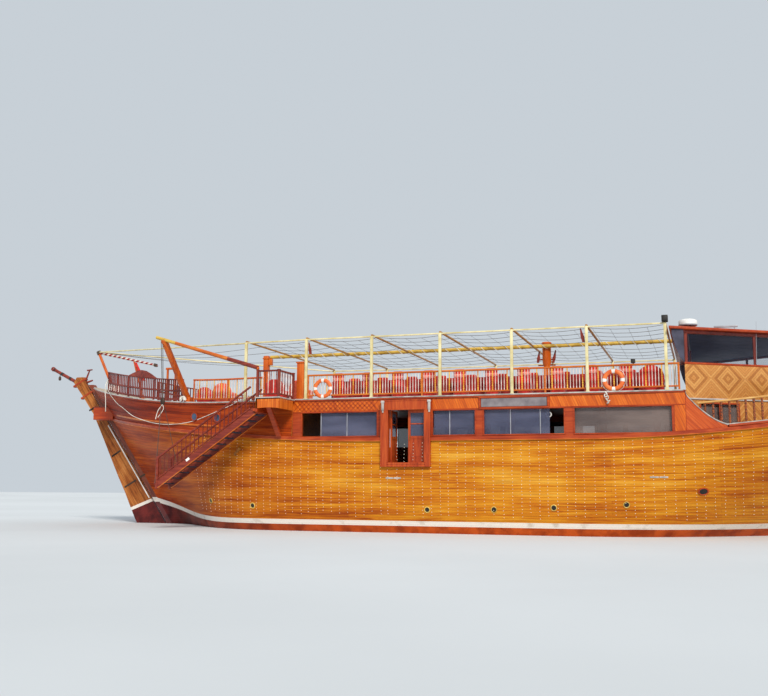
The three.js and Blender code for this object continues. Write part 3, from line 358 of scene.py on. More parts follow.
def swept(name, path, section):
    """A section of pairs, sideways and up, carried upright along a path."""
    rings = []
    for i, point in enumerate(path):
        ahead = Vector(path[min(i + 1, len(path) - 1)]) - Vector(path[max(i - 1, 0)])
        ahead.z = 0
        ahead.normalize()
        side = Vector((-ahead.y, ahead.x, 0)).normalized()
        rings.append([Vector(point) + side * a + Vector((0, 0, b)) for a, b in section])
    return lofted(name, rings)


def oblong(width, depth, ease=0.2):
    """Section of a plank, with eased corners."""
    a, b = width / 2, depth / 2
    c = ease * min(a, b)
    return [(-a, -b + c), (-a + c, -b), (a - c, -b), (a, -b + c),
            (a, b - c), (a - c, b), (-a + c, b), (-a, b - c)]


def joined(name, *objects):
    pick(*objects)
    bpy.ops.object.join()
    piece = bpy.context.object
    piece.name = piece.data.name = name
    return piece


def mirrored(piece, name):
    """The piece's mirror image in the centreline plane, with its own mesh."""
    copy = piece.copy()
    copy.data = piece.data.copy()
    copy.name = copy.data.name = name
    bpy.context.collection.objects.link(copy)
    copy.data.transform(Matrix.Diagonal((1, -1, 1, 1)))
    copy.data.flip_normals()
    return copy


def rope_mesh(name, points, radius, sides=6):
    """A round cord through the points."""
    curve = bpy.data.curves.new(name, "CURVE")
    curve.dimensions = "3D"
    curve.bevel_depth = radius
    curve.bevel_resolution = max(0, sides // 2 - 2)
    curve.use_fill_caps = True
    spline = curve.splines.new("POLY")
    spline.points.add(len(points) - 1)
    for target, point in zip(spline.points, points):
        target.co = (*point, 1)
    piece = bpy.data.objects.new(name, curve)
    bpy.context.collection.objects.link(piece)
    pick(piece)
    bpy.ops.object.convert(target="MESH")
    return bpy.context.object


def rounded_path(points, per=6):
    """Points of a smooth curve through a few points."""
    padded = [Vector(points[0]) * 2 - Vector(points[1]), *map(Vector, points),
              Vector(points[-1]) * 2 - Vector(points[-2])]
    path = []
    for i in range(1, len(padded) - 2):
        p0, p1, p2, p3 = padded[i - 1:i + 3]
        for k in range(per):
            t = k / per
            path.append(0.5 * ((2 * p1) + (p2 - p0) * t + (2 * p0 - 5 * p1 + 4 * p2 - p3) * t**2
                               + (3 * p1 - p0 - 3 * p2 + p3) * t**3))
    path.append(padded[-2])
    return path


def finish(piece, material, body="boat", replaces=(), angle=35):
    """Gives a piece its material, its body and the nodes that it stands for."""
    pick(piece)
    bpy.ops.object.transform_apply(location=True, rotation=True, scale=True)
    bpy.ops.object.shade_smooth_by_angle(angle=math.radians(angle))
    if material is not None:
        piece.data.materials.clear()
        piece.data.materials.append(material)
    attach(piece, body)
    if replaces:
        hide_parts(*replaces)
    return piece


def finish_pair(piece, name, material, nodes=()):
    """Finishes a starboard piece and its mirror image; nodes are named without their side."""
    other = mirrored(piece, f"{name}_port")
    piece.name = piece.data.name = f"{name}_starboard"
    finish(piece, material, replaces=[f"{node}_starboard" for node in nodes])
    finish(other, material, replaces=[f"{node}_port" for node in nodes])
    return piece, other


# Tools for materials


def linear(colour):
    """Linear colour from an sRGB hex value."""
    values = [int(colour[i:i + 2], 16) / 255 for i in (1, 3, 5)]
    return (*[v / 12.92 if v <= 0.04045 else ((v + 0.055) / 1.055) ** 2.4 for v in values], 1.0)


def add_node(material, kind, inputs=None, **settings):
    """Adds a node with its settings; an input is a value or the socket that feeds it."""
    tree = material.node_tree
    node = tree.nodes.new(kind)
    for key, value in settings.items():
        setattr(node, key, value)
    for key, value in (inputs or {}).items():
        if isinstance(value, bpy.types.NodeSocket):
            tree.links.new(value, node.inputs[key])
        else:
            node.inputs[key].default_value = value
    return node


def new_material(name, **sockets):
    """A material with its shader; names of sockets are written with _ for a space."""
    material = bpy.data.materials.new(name)
    material.use_nodes = True
    shader = material.node_tree.nodes["Principled BSDF"]
    for key, value in sockets.items():
        shader.inputs[key.replace("_", " ")].default_value = value
    return material, shader


def ramp(material, factor, *stops):
    """Colour ramp over a factor; each stop is a place and a hex colour."""
    node = add_node(material, "ShaderNodeValToRGB", {"Fac": factor})
    band = node.color_ramp
    while len(band.elements) < len(stops):
        band.elements.new(0.5)
    for element, (place, colour) in zip(band.elements, stops):
        element.position = place
        element.color = linear(colour)
    return node.outputs["Color"]


def bumped(material, shader, height, distance, strength=0.6):
    node = add_node(material, "ShaderNodeBump", {"Height": height, "Distance": distance, "Strength": strength})
    material.node_tree.links.new(node.outputs["Normal"], shader.inputs["Normal"])


def feed(material, output, socket):
    material.node_tree.links.new(output, socket)


def object_place(material, scale=(1, 1, 1), turn=(0, 0, 0)):
    """Object coordinates, turned and then scaled."""
    source = add_node(material, "ShaderNodeTexCoord").outputs["Object"]
    turned_by = add_node(material, "ShaderNodeMapping", {"Vector": source, "Rotation": turn})
    return add_node(material, "ShaderNodeMapping", {"Vector": turned_by.outputs["Vector"], "Scale": scale}).outputs[0]


def between(material, factor, first, second):
    """Colour that goes from the first to the second with the factor."""
    return add_node(material, "ShaderNodeMix", {6: first, 7: second, 0: factor}, data_type="RGBA").outputs[2]


def reckon(material, operation, *values):
    """Result of a sum over values and sockets."""
    return add_node(material, "ShaderNodeMath", dict(enumerate(values)), operation=operation).outputs[0]


def mapped(material, place, scale):
    return add_node(material, "ShaderNodeMapping", {"Vector": place, "Scale": scale}).outputs[0]


def noise(material, place, scale, detail, rough=0.5, wander=0.0):
    return add_node(material, "ShaderNodeTexNoise", {
        "Vector": place, "Scale": scale, "Detail": detail, "Roughness": rough, "Distortion": wander}).outputs["Fac"]


def blended(material, factor, first, second):
    """Value that goes from the first to the second with the factor."""
    return add_node(material, "ShaderNodeMix", {"Factor": factor, "A": first, "B": second}).outputs["Result"]


def parted(material, place):
    return add_node(material, "ShaderNodeSeparateXYZ", {"Vector": place}).outputs


def plank_rows(material, place, length, width, seam, soft, tone, offset=0.5):
    """Rows of planks: their Color is a tone of its own for each plank, and their Fac marks the seams."""
    return add_node(material, "ShaderNodeTexBrick", {
        "Vector": place, "Scale": 1.0, "Brick Width": length, "Row Height": width, "Mortar Size": seam,
        "Mortar Smooth": soft, "Color1": (0, 0, 0, 1), "Color2": (1, 1, 1, 1), "Mortar": (tone, tone, tone, 1)},
        offset=offset).outputs


GRAIN_STRETCH = {"X": (1.2, 14, 14), "Y": (14, 1.2, 14), "Z": (14, 14, 1.2)}


def varnished_wood(name, dark, middle, light, grain="X", rough=0.42, coat=0.15):
    """Sawn and planed wood under varnish: long streaks of grain with a soft gloss over them."""
    material, shader = new_material(name, Roughness=rough, Coat_Weight=coat, Coat_Roughness=0.2, Specular_IOR_Level=0.3)
    streaks = noise(material, object_place(material, GRAIN_STRETCH[grain]), 1.0, 6.0, 0.62, 0.4)
    blend = blended(material, 0.35, streaks, noise(material, object_place(material), 0.9, 2.0))
    feed(material, ramp(material, blend, (0.33, dark), (0.5, middle), (0.66, light)), shader.inputs["Base Color"])
    bumped(material, shader, streaks, 0.004)
    return material


# Materials


def boot_stripe(material):
    """Weathered white of the boot stripe, and the noise that weathers it."""
    dirt = noise(material, object_place(material), 2.2, 5.0)
    return ramp(material, dirt, (0.3, "#c9bfb2"), (0.42, "#e4ddd3")), dirt


def dark_antifouling(material, dirt):
    return ramp(material, dirt, (0.35, "#431516"), (0.6, "#6b2522"))


def side_planks(name, fore_tones, aft_tones, booted):
    """Hull planks 100 mm wide under varnish, on a map along the side: lively streaks between thin dark
    seams, darker and redder aft than amidships, partly the wood's own tone and partly painted shade
    of the stern. Where booted, a white stripe and antifouling lie below them."""
    material, shader = new_material(name, Roughness=0.48, Coat_Weight=0.03, Coat_Roughness=0.25,
                                    Specular_IOR_Level=0.14)
    uv = add_node(material, "ShaderNodeUVMap", uv_map="grain").outputs["UV"]
    planks = plank_rows(material, uv, 9.0, 0.1, 0.0045, 0.5, 0.2, offset=0.37)

    def streaks(scale, detail, rough=0.6, wander=0.0):
        return noise(material, mapped(material, uv, scale), 1.0, detail, rough, wander)

    runs = streaks((0.7, 15, 1), 8.0, 0.72, 0.6)
    tone = blended(material, 0.1, runs, planks["Color"])
    tone = blended(material, 0.4, tone, streaks((0.16, 3.1, 1), 4.0))
    tone = blended(material, 0.25, tone, streaks((0.3, 0.8, 1), 3.0))
    # towards the stern the tones darken: partly the wood's redder tone, partly painted shade where the stern turns from
    # the light
    aft = add_node(material, "ShaderNodeMapRange", {
        "Value": parted(material, uv)[0], "From Min": -3.0, "From Max": -13.0}).outputs[0]
    places = (0.40, 0.46, 0.53, 0.62)
    wood = between(material, aft, ramp(material, tone, *zip(places, fore_tones)),
                   ramp(material, tone, *zip(places, aft_tones)))
    # thin dark streaks where the varnish has worn
    worn = add_node(material, "ShaderNodeMapRange", {
        "Value": streaks((0.28, 30, 1), 5.0, 0.7, 0.3), "From Min": 0.46, "From Max": 0.38, "To Max": 0.55}).outputs[0]
    wood = between(material, worn, wood, linear("#7a2f06"))
    whole = between(material, reckon(material, "MULTIPLY", planks["Fac"], 0.6), wood, linear("#5c260a"))
    if booted:
        boot = add_node(material, "ShaderNodeAttribute", attribute_name="boot").outputs["Fac"]
        white, dirt = boot_stripe(material)
        # the antifouling also darkens aft, partly with painted shade of the stern
        red = between(material, aft, ramp(material, dirt, (0.35, "#93370d"), (0.6, "#c05218")),
                      dark_antifouling(material, dirt))
        above = between(material, reckon(material, "GREATER_THAN", boot, 1.0), white, whole)
        whole = between(material, reckon(material, "LESS_THAN", boot, 0.0), above, red)
    feed(material, whole, shader.inputs["Base Color"])
    bumped(material, shader, reckon(material, "SUBTRACT", runs, planks["Fac"]), 0.005, 0.6)
    return material


def boards(name, colours, width, length, turn, seam, rough=0.42, coat=0.12, vary=0.25):
    """Narrow varnished boards side by side, on object coordinates turned into their plane."""
    material, shader = new_material(name, Roughness=rough, Coat_Weight=coat, Coat_Roughness=0.2, Specular_IOR_Level=0.3)
    place = object_place(material, turn=turn)
    rows = plank_rows(material, place, length, width, 0.004, 0.3, 0.3)
    grain = noise(material, mapped(material, place, (1.5, 22, 8)), 1.0, 4.0)
    wood = ramp(material, blended(material, vary, grain, rows["Color"]), *zip((0.25, 0.5, 0.75), colours))
    whole = between(material, reckon(material, "MULTIPLY", rows["Fac"], 0.65), wood, linear(seam))
    feed(material, whole, shader.inputs["Base Color"])
    bumped(material, shader, reckon(material, "SUBTRACT", 1.0, rows["Fac"]), 0.003, 0.5)
    return material


def painted(name, dark, light, rough=0.5, metal=0.0, coat=0.0, scale=3.0):
    """Brushed or sprayed paint: slight change of tone, and a faint orange peel."""
    material, shader = new_material(name, Roughness=rough, Metallic=metal, Coat_Weight=coat)
    tone = noise(material, object_place(material), scale, 6.0)
    feed(material, ramp(material, tone, (0.35, dark), (0.62, light)), shader.inputs["Base Color"])
    bumped(material, shader, noise(material, object_place(material), 60.0, 2.0), 0.001, 0.35)
    return material


def cloth(name, dark, light, thread=0.02, sheen=0.4):
    """Woven cotton cover: soft folds of tone and a coarse weave, drawn wide enough to show."""
    material, shader = new_material(name, Roughness=0.85, Sheen_Weight=sheen, Sheen_Roughness=0.4)
    tone = noise(material, object_place(material), 3.0, 4.0)
    feed(material, ramp(material, tone, (0.32, dark), (0.62, light)), shader.inputs["Base Color"])
    weave = add_node(material, "ShaderNodeTexWave", {
        "Vector": object_place(material), "Scale": 1 / thread, "Distortion": 1.5}, bands_direction="DIAGONAL")
    bumped(material, shader, weave.outputs["Fac"], 0.002, 0.4)
    return material


def float_glass(name, dark, light, alpha, fore=None):
    """Float glass: a clear gloss over a tint that is part see-through, in soft level bands; panes of
    another tint, where there are such, stand fore of the others."""
    material, shader = new_material(name, Roughness=0.05, Alpha=alpha, IOR=1.5, Specular_IOR_Level=0.4)
    tone = noise(material, mapped(material, object_place(material), (0.5, 0.5, 1.5)), 1.0, 2.0)
    tint = ramp(material, tone, (0.38, dark), (0.6, light))
    if fore:
        along = parted(material, object_place(material))[0]
        tint = between(material, reckon(material, "GREATER_THAN", along, 4.3), tint,
                       ramp(material, tone, (0.38, fore[0]), (0.6, fore[1])))
    feed(material, tint, shader.inputs["Base Color"])
    return material


def striped_spiral(name, first, second, pitch):
    """Paint wound in two colours round a spar, from the spar's own map."""
    material, shader = new_material(name, Roughness=0.5)
    uv = add_node(material, "ShaderNodeUVMap", uv_map="grain").outputs["UV"]
    round_it, along = parted(material, mapped(material, uv, (1, pitch, 1)))[:2]
    part = reckon(material, "FRACT", reckon(material, "ADD", round_it, along))
    feed(material, ramp(material, part, (0.0, first), (0.52, first), (0.56, second), (0.97, second)),
         shader.inputs["Base Color"])
    return material


# the aft tones are darker partly for the wood and partly with painted shade of the stern
PLANKS = side_planks("teak_side_planks_varnished", ("#97420c", "#bd690f", "#d38a1a", "#e0a53a"),
                     ("#6a1b02", "#9a3406", "#bd4e0a", "#cc6a1c"), True)
QUARTER = side_planks("mahogany_quarter_planks_varnished", ("#7d2608", "#a8400c", "#c45414", "#d4702e"),
                      ("#561405", "#7e200a", "#98300f", "#ae4a22"), False)
TEAK = varnished_wood("teak_varnished", "#7c4a1a", "#a86c2c", "#c88f45")
MAHOGANY = varnished_wood("mahogany_stained_and_varnished", "#7d2408", "#a33a12", "#bd5220")
MAHOGANY_UP = varnished_wood("mahogany_uprights_varnished", "#7d2408", "#ab3f12", "#c45a20", grain="Z")
ORANGE_WOOD = varnished_wood("ramin_rails_varnished_orange", "#a84a10", "#c6631a", "#da8430")
ORANGE_UP = varnished_wood("ramin_posts_varnished_orange", "#a44009", "#c4560f", "#d87422", grain="Z")
MAROON = varnished_wood("meranti_stained_maroon", "#4b1712", "#73281f", "#93402f", grain="Z", rough=0.45)
MAROON_LONG = varnished_wood("meranti_rails_stained_maroon", "#561a11", "#7e2d20", "#a0452c", rough=0.4)
PALE_YELLOW = painted("steel_posts_enamelled_pale_yellow", "#c9b981", "#e4d8a8", rough=0.4)
GOLD_YELLOW = painted("steel_spar_painted_yellow", "#b08a2e", "#d4ae4a", rough=0.45)
BEAM_BROWN = varnished_wood("pine_beams_painted_ochre", "#8a5a24", "#ad7a38", "#c79a5a", grain="Y", rough=0.5, coat=0.1)
EDGE_GREY = painted("deck_edge_rubber_grey", "#948d88", "#c4bdb7", rough=0.6)
RAIL_GOLD = varnished_wood("fore_handrail_varnished_gold", "#b07a38", "#cf9c58", "#e2b878")
WOUND_DARK = painted("posts_wound_in_dark_cord", "#2c1012", "#a8521c", rough=0.6, scale=22.0)
GLASS = float_glass("tinted_float_glass", "#4c5068", "#666a84", 0.62, fore=("#6a5e5c", "#8a7a74"))
CLEAR_GLASS = float_glass("clear_float_glass", "#30344a", "#4a5064", 0.12)
GELCOAT_GREY = painted("moulded_gelcoat_grey", "#8f9096", "#a9abb2", rough=0.35, coat=0.2)
GELCOAT = painted("moulded_gelcoat_white", "#d4d3cf", "#f1f0ec", rough=0.25, coat=0.4)
BRONZE = painted("cast_bronze_dull", "#6f5527", "#a3843f", rough=0.4, metal=1.0)
IRON = painted("forged_iron_rusted", "#2c2420", "#5a4437", rough=0.6, metal=0.6)
RED_CLOTH = cloth("cotton_chair_covers_red", "#8e1512", "#cf2a22")
CORAL_CLOTH = cloth("cotton_seat_covers_coral", "#c23a22", "#ee6a4a")
PINK_CLOTH = cloth("satin_sashes_rose", "#c5574c", "#ec8a7c", sheen=0.8)
DEEP_RED_CLOTH = cloth("cotton_table_skirts_dark_red", "#6a0f10", "#a01c1a")
WHITE_CLOTH = cloth("cotton_table_runners_white", "#cfccc8", "#f2f0ee")
ROPE = cloth("polyester_rope_laid_white", "#b9b4a8", "#eae6dc", thread=0.03)
DARK_ROPE = cloth("hemp_rope_tarred", "#2a211c", "#574639", thread=0.03)
BUOY_ORANGE = painted("buoy_skin_moulded_orange", "#cf5416", "#ec7a35", rough=0.5)
BUOY_WHITE = painted("buoy_bands_reflective_white", "#d9d6cf", "#f6f4ef", rough=0.4)
GOLD_LIGHTS = painted("light_cords_gold_plastic", "#c8761c", "#f5c050", rough=0.4)
PALE_TURNED = painted("balusters_enamelled_rose_white", "#cdb3a6", "#eadfd8", rough=0.45)
BLACK = painted("black_painted_wood", "#120f10", "#28221f", rough=0.6)
# dark blue-grey of the canvas screens, and of the ceiling, where it is partly painted shade under the roof
CANVAS_AND_CEILING_SHADE = painted("canvas_blue_grey_and_ceiling_shade", "#2a2a3a", "#454456", rough=0.75)
SIGN_GREY = painted("sign_panel_painted_grey", "#6d6569", "#8c8486", rough=0.5)
DECK_BOARDS = boards("teak_deck_boards_scrubbed", ("#8f8272", "#b5a791", "#d0c4ae"), 0.12, 5.0, (0, 0, 0),
                     "#4b4238", rough=0.7, coat=0.0)
FASCIA = boards("mahogany_fascia_boards_diagonal", ("#a8420a", "#cc5c0e", "#e27a24"), 0.075, 9.0,
                (math.radians(-90), 0, math.radians(68)), "#8a3206", vary=0.2)
UPRIGHT_BOARDS = boards("mahogany_boards_set_upright", ("#b0480c", "#cc6214", "#e07c28"), 0.06, 9.0,
                        (math.radians(90), math.radians(45), math.radians(90)), "#94400c", vary=0.3)
WING_BOARDS = boards("mahogany_wing_boards_diagonal", ("#a03808", "#be4c10", "#d26426"), 0.07, 9.0,
                     (math.radians(-90), 0, math.radians(46)), "#7e2e08", vary=0.2)


def diamond_boards():
    """Golden boards laid in diamonds, 1.25 m from point to point, of strips 70 mm wide."""
    material, shader = new_material("teak_boards_laid_in_diamonds", Roughness=0.42, Coat_Weight=0.12)
    source = add_node(material, "ShaderNodeTexCoord").outputs
    x, y, z = parted(material, source["Object"])
    facing = reckon(material, "ABSOLUTE", parted(material, source["Normal"])[0])
    across = reckon(material, "GREATER_THAN", facing, 0.8)
    side = reckon(material, "ADD", blended(material, across, reckon(material, "MULTIPLY", x, 1.19), y), 0.1)
    height = reckon(material, "ABSOLUTE", reckon(material, "SUBTRACT", z, 5.08))
    rings = reckon(material, "ADD", reckon(material, "PINGPONG", side, 0.625), height)
    strips = reckon(material, "DIVIDE", rings, 0.1)
    tone = add_node(material, "ShaderNodeTexWhiteNoise", {"W": reckon(material, "FLOOR", strips)},
                    noise_dimensions="1D")
    blend = blended(material, 0.4, noise(material, object_place(material, (6, 6, 6)), 5.0, 6.0), tone.outputs["Value"])
    wood = ramp(material, blend, (0.25, "#a0601f"), (0.5, "#bf7c35"), (0.75, "#d39a52"))
    edge = reckon(material, "FRACT", strips)
    seam = reckon(material, "MULTIPLY", reckon(material, "LESS_THAN", edge, 0.14), 0.6)
    feed(material, between(material, seam, wood, linear("#7c4218")), shader.inputs["Base Color"])
    bumped(material, shader, edge, 0.002, 0.4)
    return material


DIAMONDS = diamond_boards()

# Camera, floor and light


def place_camera():
    """At the photo's eye, 1.5 m above the water, looking a little aft and up."""
    aside, lift, roll = math.radians(18.37), math.radians(8.27), math.radians(0.31)
    level = Vector((-math.sin(aside), math.cos(aside), 0))
    flat_right = Vector((math.cos(aside), math.sin(aside), 0))
    upright = Vector((0, 0, 1))
    ahead = math.cos(lift) * level + math.sin(lift) * upright
    up = -math.sin(lift) * level + math.cos(lift) * upright
    right = math.cos(roll) * flat_right + math.sin(roll) * up
    up = -math.sin(roll) * flat_right + math.cos(roll) * up
    deselect()
    bpy.ops.object.camera_add()
    camera = bpy.context.object
    turn = Matrix((right, up, -ahead)).transposed().to_4x4()
    camera.matrix_world = Matrix.Translation((8.61, -36.77, 1.497)) @ turn
    camera.data.lens = 45.39
    camera.data.sensor_width = 36
    camera.data.clip_end = 500
    bpy.context.scene.camera = camera


def stage_and_light():
    deselect()
    bpy.ops.mesh.primitive_plane_add(size=400, location=(0, 0, 0))
    floor = bpy.context.object
    floor.name = "floor"
    floor.data.materials.append(painted("floor_paper_pale", "#c9cdd0", "#d3d7da", rough=0.9, scale=0.05))
    world = bpy.data.worlds.new("studio")
    world.use_nodes = True
    world.node_tree.nodes["Background"].inputs["Color"].default_value = linear("#dfe8f0")
    world.node_tree.nodes["Background"].inputs["Strength"].default_value = 0.78
    bpy.context.scene.world = world
    deselect()
    bpy.ops.object.light_add(type="SUN")
    sun = bpy.context.object
    sun.data.energy = 2.9
    sun.data.angle = math.radians(14)
    sun.data.color = (1.0, 0.95, 0.87)
    sun.rotation_euler = Vector((0.42, -0.72, 0.62)).to_track_quat("Z", "Y").to_euler()
    bpy.context.scene.view_settings.view_transform = "Standard"


place_camera()
stage_and_light()

# The free rope comes first

ROPE_ROUTE = [
    (-15.148, -1.994, 5.905), (-15.000, -2.230, 5.630), (-14.850, -2.300, 5.370), (-14.480, -2.310, 4.960),
    (-14.100, -2.430, 4.740), (-13.400, -2.760, 4.370), (-12.700, -3.065, 4.160),
    (-12.000, -3.395, 4.010), (-11.300, -3.660, 3.930), (-10.600, -3.940, 3.920), (-9.900, -4.120, 3.990),
    (-9.300, -4.275, 4.140), (-8.700, -4.430, 4.320), (-8.100, -4.515, 4.520), (-7.800, -4.610, 4.640),
    (-7.500, -4.640, 4.740), (-7.200, -4.610, 4.860), (-6.950, -4.570, 4.980), (-6.730, -4.5244, 5.075),
]
ROPE_RADIUS = 0.012


def free_rope():
    path = rounded_path(ROPE_ROUTE, per=5)
    piece = rope_mesh("mooring_line", path, ROPE_RADIUS, sides=8)
    finish(piece, ROPE, replaces=["mooring_rope"])


free_rope()

# Hull

HALF_RUNS = [0.2 + 0.8 * (1 - (1 - share) ** 1.45) for share in spaced(0, 1, 30)]
RUNS = [-run for run in reversed(HALF_RUNS)] + spaced(-0.2, 0.2, 12)[1:-1] + HALF_RUNS
SIDE_LEVELS = ([0, 0.5] + spaced(1, 3, 7) + spaced(3, 6, 25)[1:] + [7] + spaced(7, 8, 8)[1:])


def boot_lines(x):
    """Lower and upper edge of the white boot stripe."""
    aft = max(0.0, (-8.2 - x) / 5.6) ** 2.1
    fore = max(0.0, (x - 9.0) / 9.0) ** 2
    low = 0.24 + 0.66 * aft + 0.5 * fore
    return low, low + 0.17 + 0.02 * aft


def plank_map():
    """Girth amidships, in metres, for each of the side's levels."""
    middle = [hull_point(0.0, level) for level in SIDE_LEVELS]
    girth = [0.0]
    for a, b in zip(middle, middle[1:]):
        girth.append(girth[-1] + (b - a).length)
    return girth


def mark_boot(piece):
    attribute = piece.data.attributes.new("boot", "FLOAT", "POINT")
    for vertex in piece.data.vertices:
        low, high = boot_lines(vertex.co.x)
        attribute.data[vertex.index].value = (vertex.co.z - low) / (high - low)


def cutter(name, rows):
    """Solid of rectangular stations: x, half width and two heights."""
    rings = [[Vector((x, -half, low)), Vector((x, half, low)), Vector((x, half, high)), Vector((x, -half, high))]
             for x, half, low, high in rows]
    return lofted(name, rings)


def flared_well():
    """Space of the fore well: its sides follow the flare up to the cap and stand upright over it."""
    rings = []
    for x in spaced(BULKHEAD_FORE, WELL_END, 16):
        cap, wide = cap_height(x), cap_half(x) - WALL_THICK
        floor = cap - WELL_DEPTH
        narrow = side_at(x, floor) - WALL_THICK
        rings.append([Vector((x, y, z)) for y, z in (
            (-narrow, floor), (narrow, floor), (wide, cap), (wide, 8), (-wide, 8), (-wide, cap))])
    return lofted("well", rings)


def subtract(piece, *tools):
    for tool in tools:
        apply_modifier(piece, "BOOLEAN", operation="DIFFERENCE", solver="EXACT", object=tool)
        bpy.data.objects.remove(tool)


def planked_hull():
    """Both sides as one closed skin, with the saloon, fore well, doorways and race cut out."""
    girth = plank_map()
    rings = []
    for run in RUNS:
        port = [hull_point(run, level) for level in SIDE_LEVELS]
        starboard = [Vector((point.x, -point.y, point.z)) for point in reversed(port)]
        rings.append(port + starboard)
    around = len(rings[0])

    def uv(u, v):
        place = round(u * around) % around
        place = place if place < len(girth) else around - 1 - place
        return rings[round(v * (len(rings) - 1))][place].x, girth[place]

    piece = lofted("planked_hull", rings, uv=uv)
    above = [(-5.5, 6, WALE_TOP + 0.002, 7), (8.05, 6, WALE_TOP + 0.002, 7)]
    above += [(x, 6, cap_height(x), 9) for x in spaced(8.06, 19.6, 14)]
    saloon = [(x, cap_half(x) - WALL_THICK, SALOON_FLOOR, 6) for x in spaced(SALOON_AFT, SALOON_FORE, 14)]
    doors = []
    for side in (-1, 1):
        doors.append(repeated("door_gap", unit_cube(), [
            block((DOOR_FRAME["from"], DOOR_FRAME["to"]), (side * 4.58, side * 6), (2.24, 6))]))
    race = repeated("race", unit_cube(), [block((-14, -11.1), (-3, 3), (-1.65, -0.33))])
    subtract(piece, cutter("above", above), cutter("saloon", saloon), flared_well(), *doors, race)
    close_up(piece, merge=0.0001, fill=False)
    mark_boot(piece)
    finish(piece, PLANKS, replaces=["hull"], angle=25)
    piece.data.materials.append(TEAK)
    piece.data.materials.append(QUARTER)
    for polygon in piece.data.polygons:
        middle, normal = polygon.center, polygon.normal
        faces_in = normal.z > 0.9 or abs(normal.x) > 0.95 or normal.y * middle.y < 0
        if middle.x > SALOON_AFT - 0.1 and middle.z > -0.3 and faces_in:
            polygon.material_index = 1
        elif middle.z > level_height(7, middle.x) - 0.01:
            polygon.material_index = 2
    return piece


planked_hull()

# Belts, strakes and the upper deck


def belt(name, edges, proud):
    """Plank proud of the starboard side, with eased outer edges, through its lower and upper points."""
    rings = []
    for low, high in edges:
        ease = (high - low) * 0.16
        out = Vector((0, -proud, 0))
        rings.append([low - 0.2 * out, low + 0.65 * out, low + ease + out, high - ease + out,
                      high + 0.65 * out, high - 0.2 * out])
    return lofted(name, rings)


def level_line(index, x):
    return Vector((x, -level_half(index, x), level_height(index, x)))


def side_point(x, z):
    return Vector((x, -side_at(x, z), z))


def through(pairs, x):
    """Height on a line through pairs of x and z, listed from aft forward."""
    for (x0, z0), (x1, z1) in zip(pairs, pairs[1:]):
        if x <= x1:
            return z0 + (z1 - z0) * (x - x0) / (x1 - x0)
    return pairs[-1][1]


STRAKE_LINE = [(-14.88, 4.53), (-14.0, 4.385), (-13.10, 4.24), (-12.4, 4.16), (-11.74, 4.09), (-10.58, 3.96),
               (-9.53, 3.87), (-8.6, 3.80)]


def wales():
    for name, start, end_of in (("wale_aft", DOOR_FRAME["from"] - HAIR, 0), ("wale_fore", DOOR_FRAME["to"] + HAIR, 1)):
        edges = []
        for share in spaced(0, 1, 56):
            low, high = [start + (ENDS[index][end_of] - start) * share for index in (6, 7)]
            edges.append((level_line(6, low), level_line(7, high)))
        piece = belt(name, edges, WALE_PROUD)
        finish_pair(piece, name, MAHOGANY, [name])
        foot = belt(f"{name}_bead", [(low, low.lerp(high, 0.22)) for low, high in edges], WALE_PROUD + 0.008)
        finish_pair(foot, f"{name}_bead", ORANGE_WOOD)
    edges = [(side_point(x, z - 0.075), side_point(x, z)) for x, z in
             ((x, through(STRAKE_LINE, x)) for x in spaced(STRAKE_LINE[0][0], STRAKE_LINE[-1][0], 30))]
    finish_pair(belt("rubbing_strake", edges, 0.04), "rubbing_strake", ORANGE_WOOD)


wales()


def house_half(x):
    return 4.5 - (x - 8.07) * (4.5 - 1.95) / (12.0 - 8.07)


def upper_deck():
    rings = []
    for x in spaced(ENDS[DECK_LEVEL][0] + 0.001, 8.0, 64):
        half, top = deck_half(x), deck_height(x)
        rings.append([Vector((x, -half, top - DECK_THICK)), Vector((x, half, top - DECK_THICK)),
                      Vector((x, half, top)), Vector((x, -half, top))])
    for x, half in ((8.08, house_half(8.08) - 0.02), (11.97, house_half(11.97) - 0.02)):
        rings.append([Vector((x, -half, DECK_TOP - DECK_THICK)), Vector((x, half, DECK_TOP - DECK_THICK)),
                      Vector((x, half, DECK_TOP)), Vector((x, -half, DECK_TOP))])
    slab = lofted("upper_deck_boards", rings)
    finish(slab, DECK_BOARDS, replaces=["upper_deck"])
    slab.data.materials.append(MAHOGANY)
    for polygon in slab.data.polygons:
        polygon.material_index = 0 if polygon.normal.z > 0.5 else 1
    edge = [Vector((x, -deck_half(x), deck_height(x) - 0.015)) for x in spaced(ENDS[DECK_LEVEL][0] + 0.001, 7.99, 70)]
    finish_pair(swept("deck_edge_strip", edge, oblong(0.05, 0.045, 0.5)), "deck_edge_strip", EDGE_GREY)


upper_deck()

# Rails

TURNING = [(0.8, 0.0), (1.0, 0.08), (0.55, 0.16), (1.0, 0.4), (0.6, 0.7), (0.95, 0.84), (0.7, 0.92), (0.8, 1.0)]


def baluster(radius, sides=6):
    """Turned baluster of unit height."""
    return turned("baluster", [(radius * width, height) for width, height in TURNING], sides)


def upright(x, y, low, high):
    """Place of a unit-high model between two heights."""
    return Matrix.Translation((x, y, low)) @ Matrix.Diagonal((1, 1, high - low, 1))


NEWEL_HALF = 0.03
FOOT_RAIL = 0.13
HANDRAIL = (0.085, 0.062)


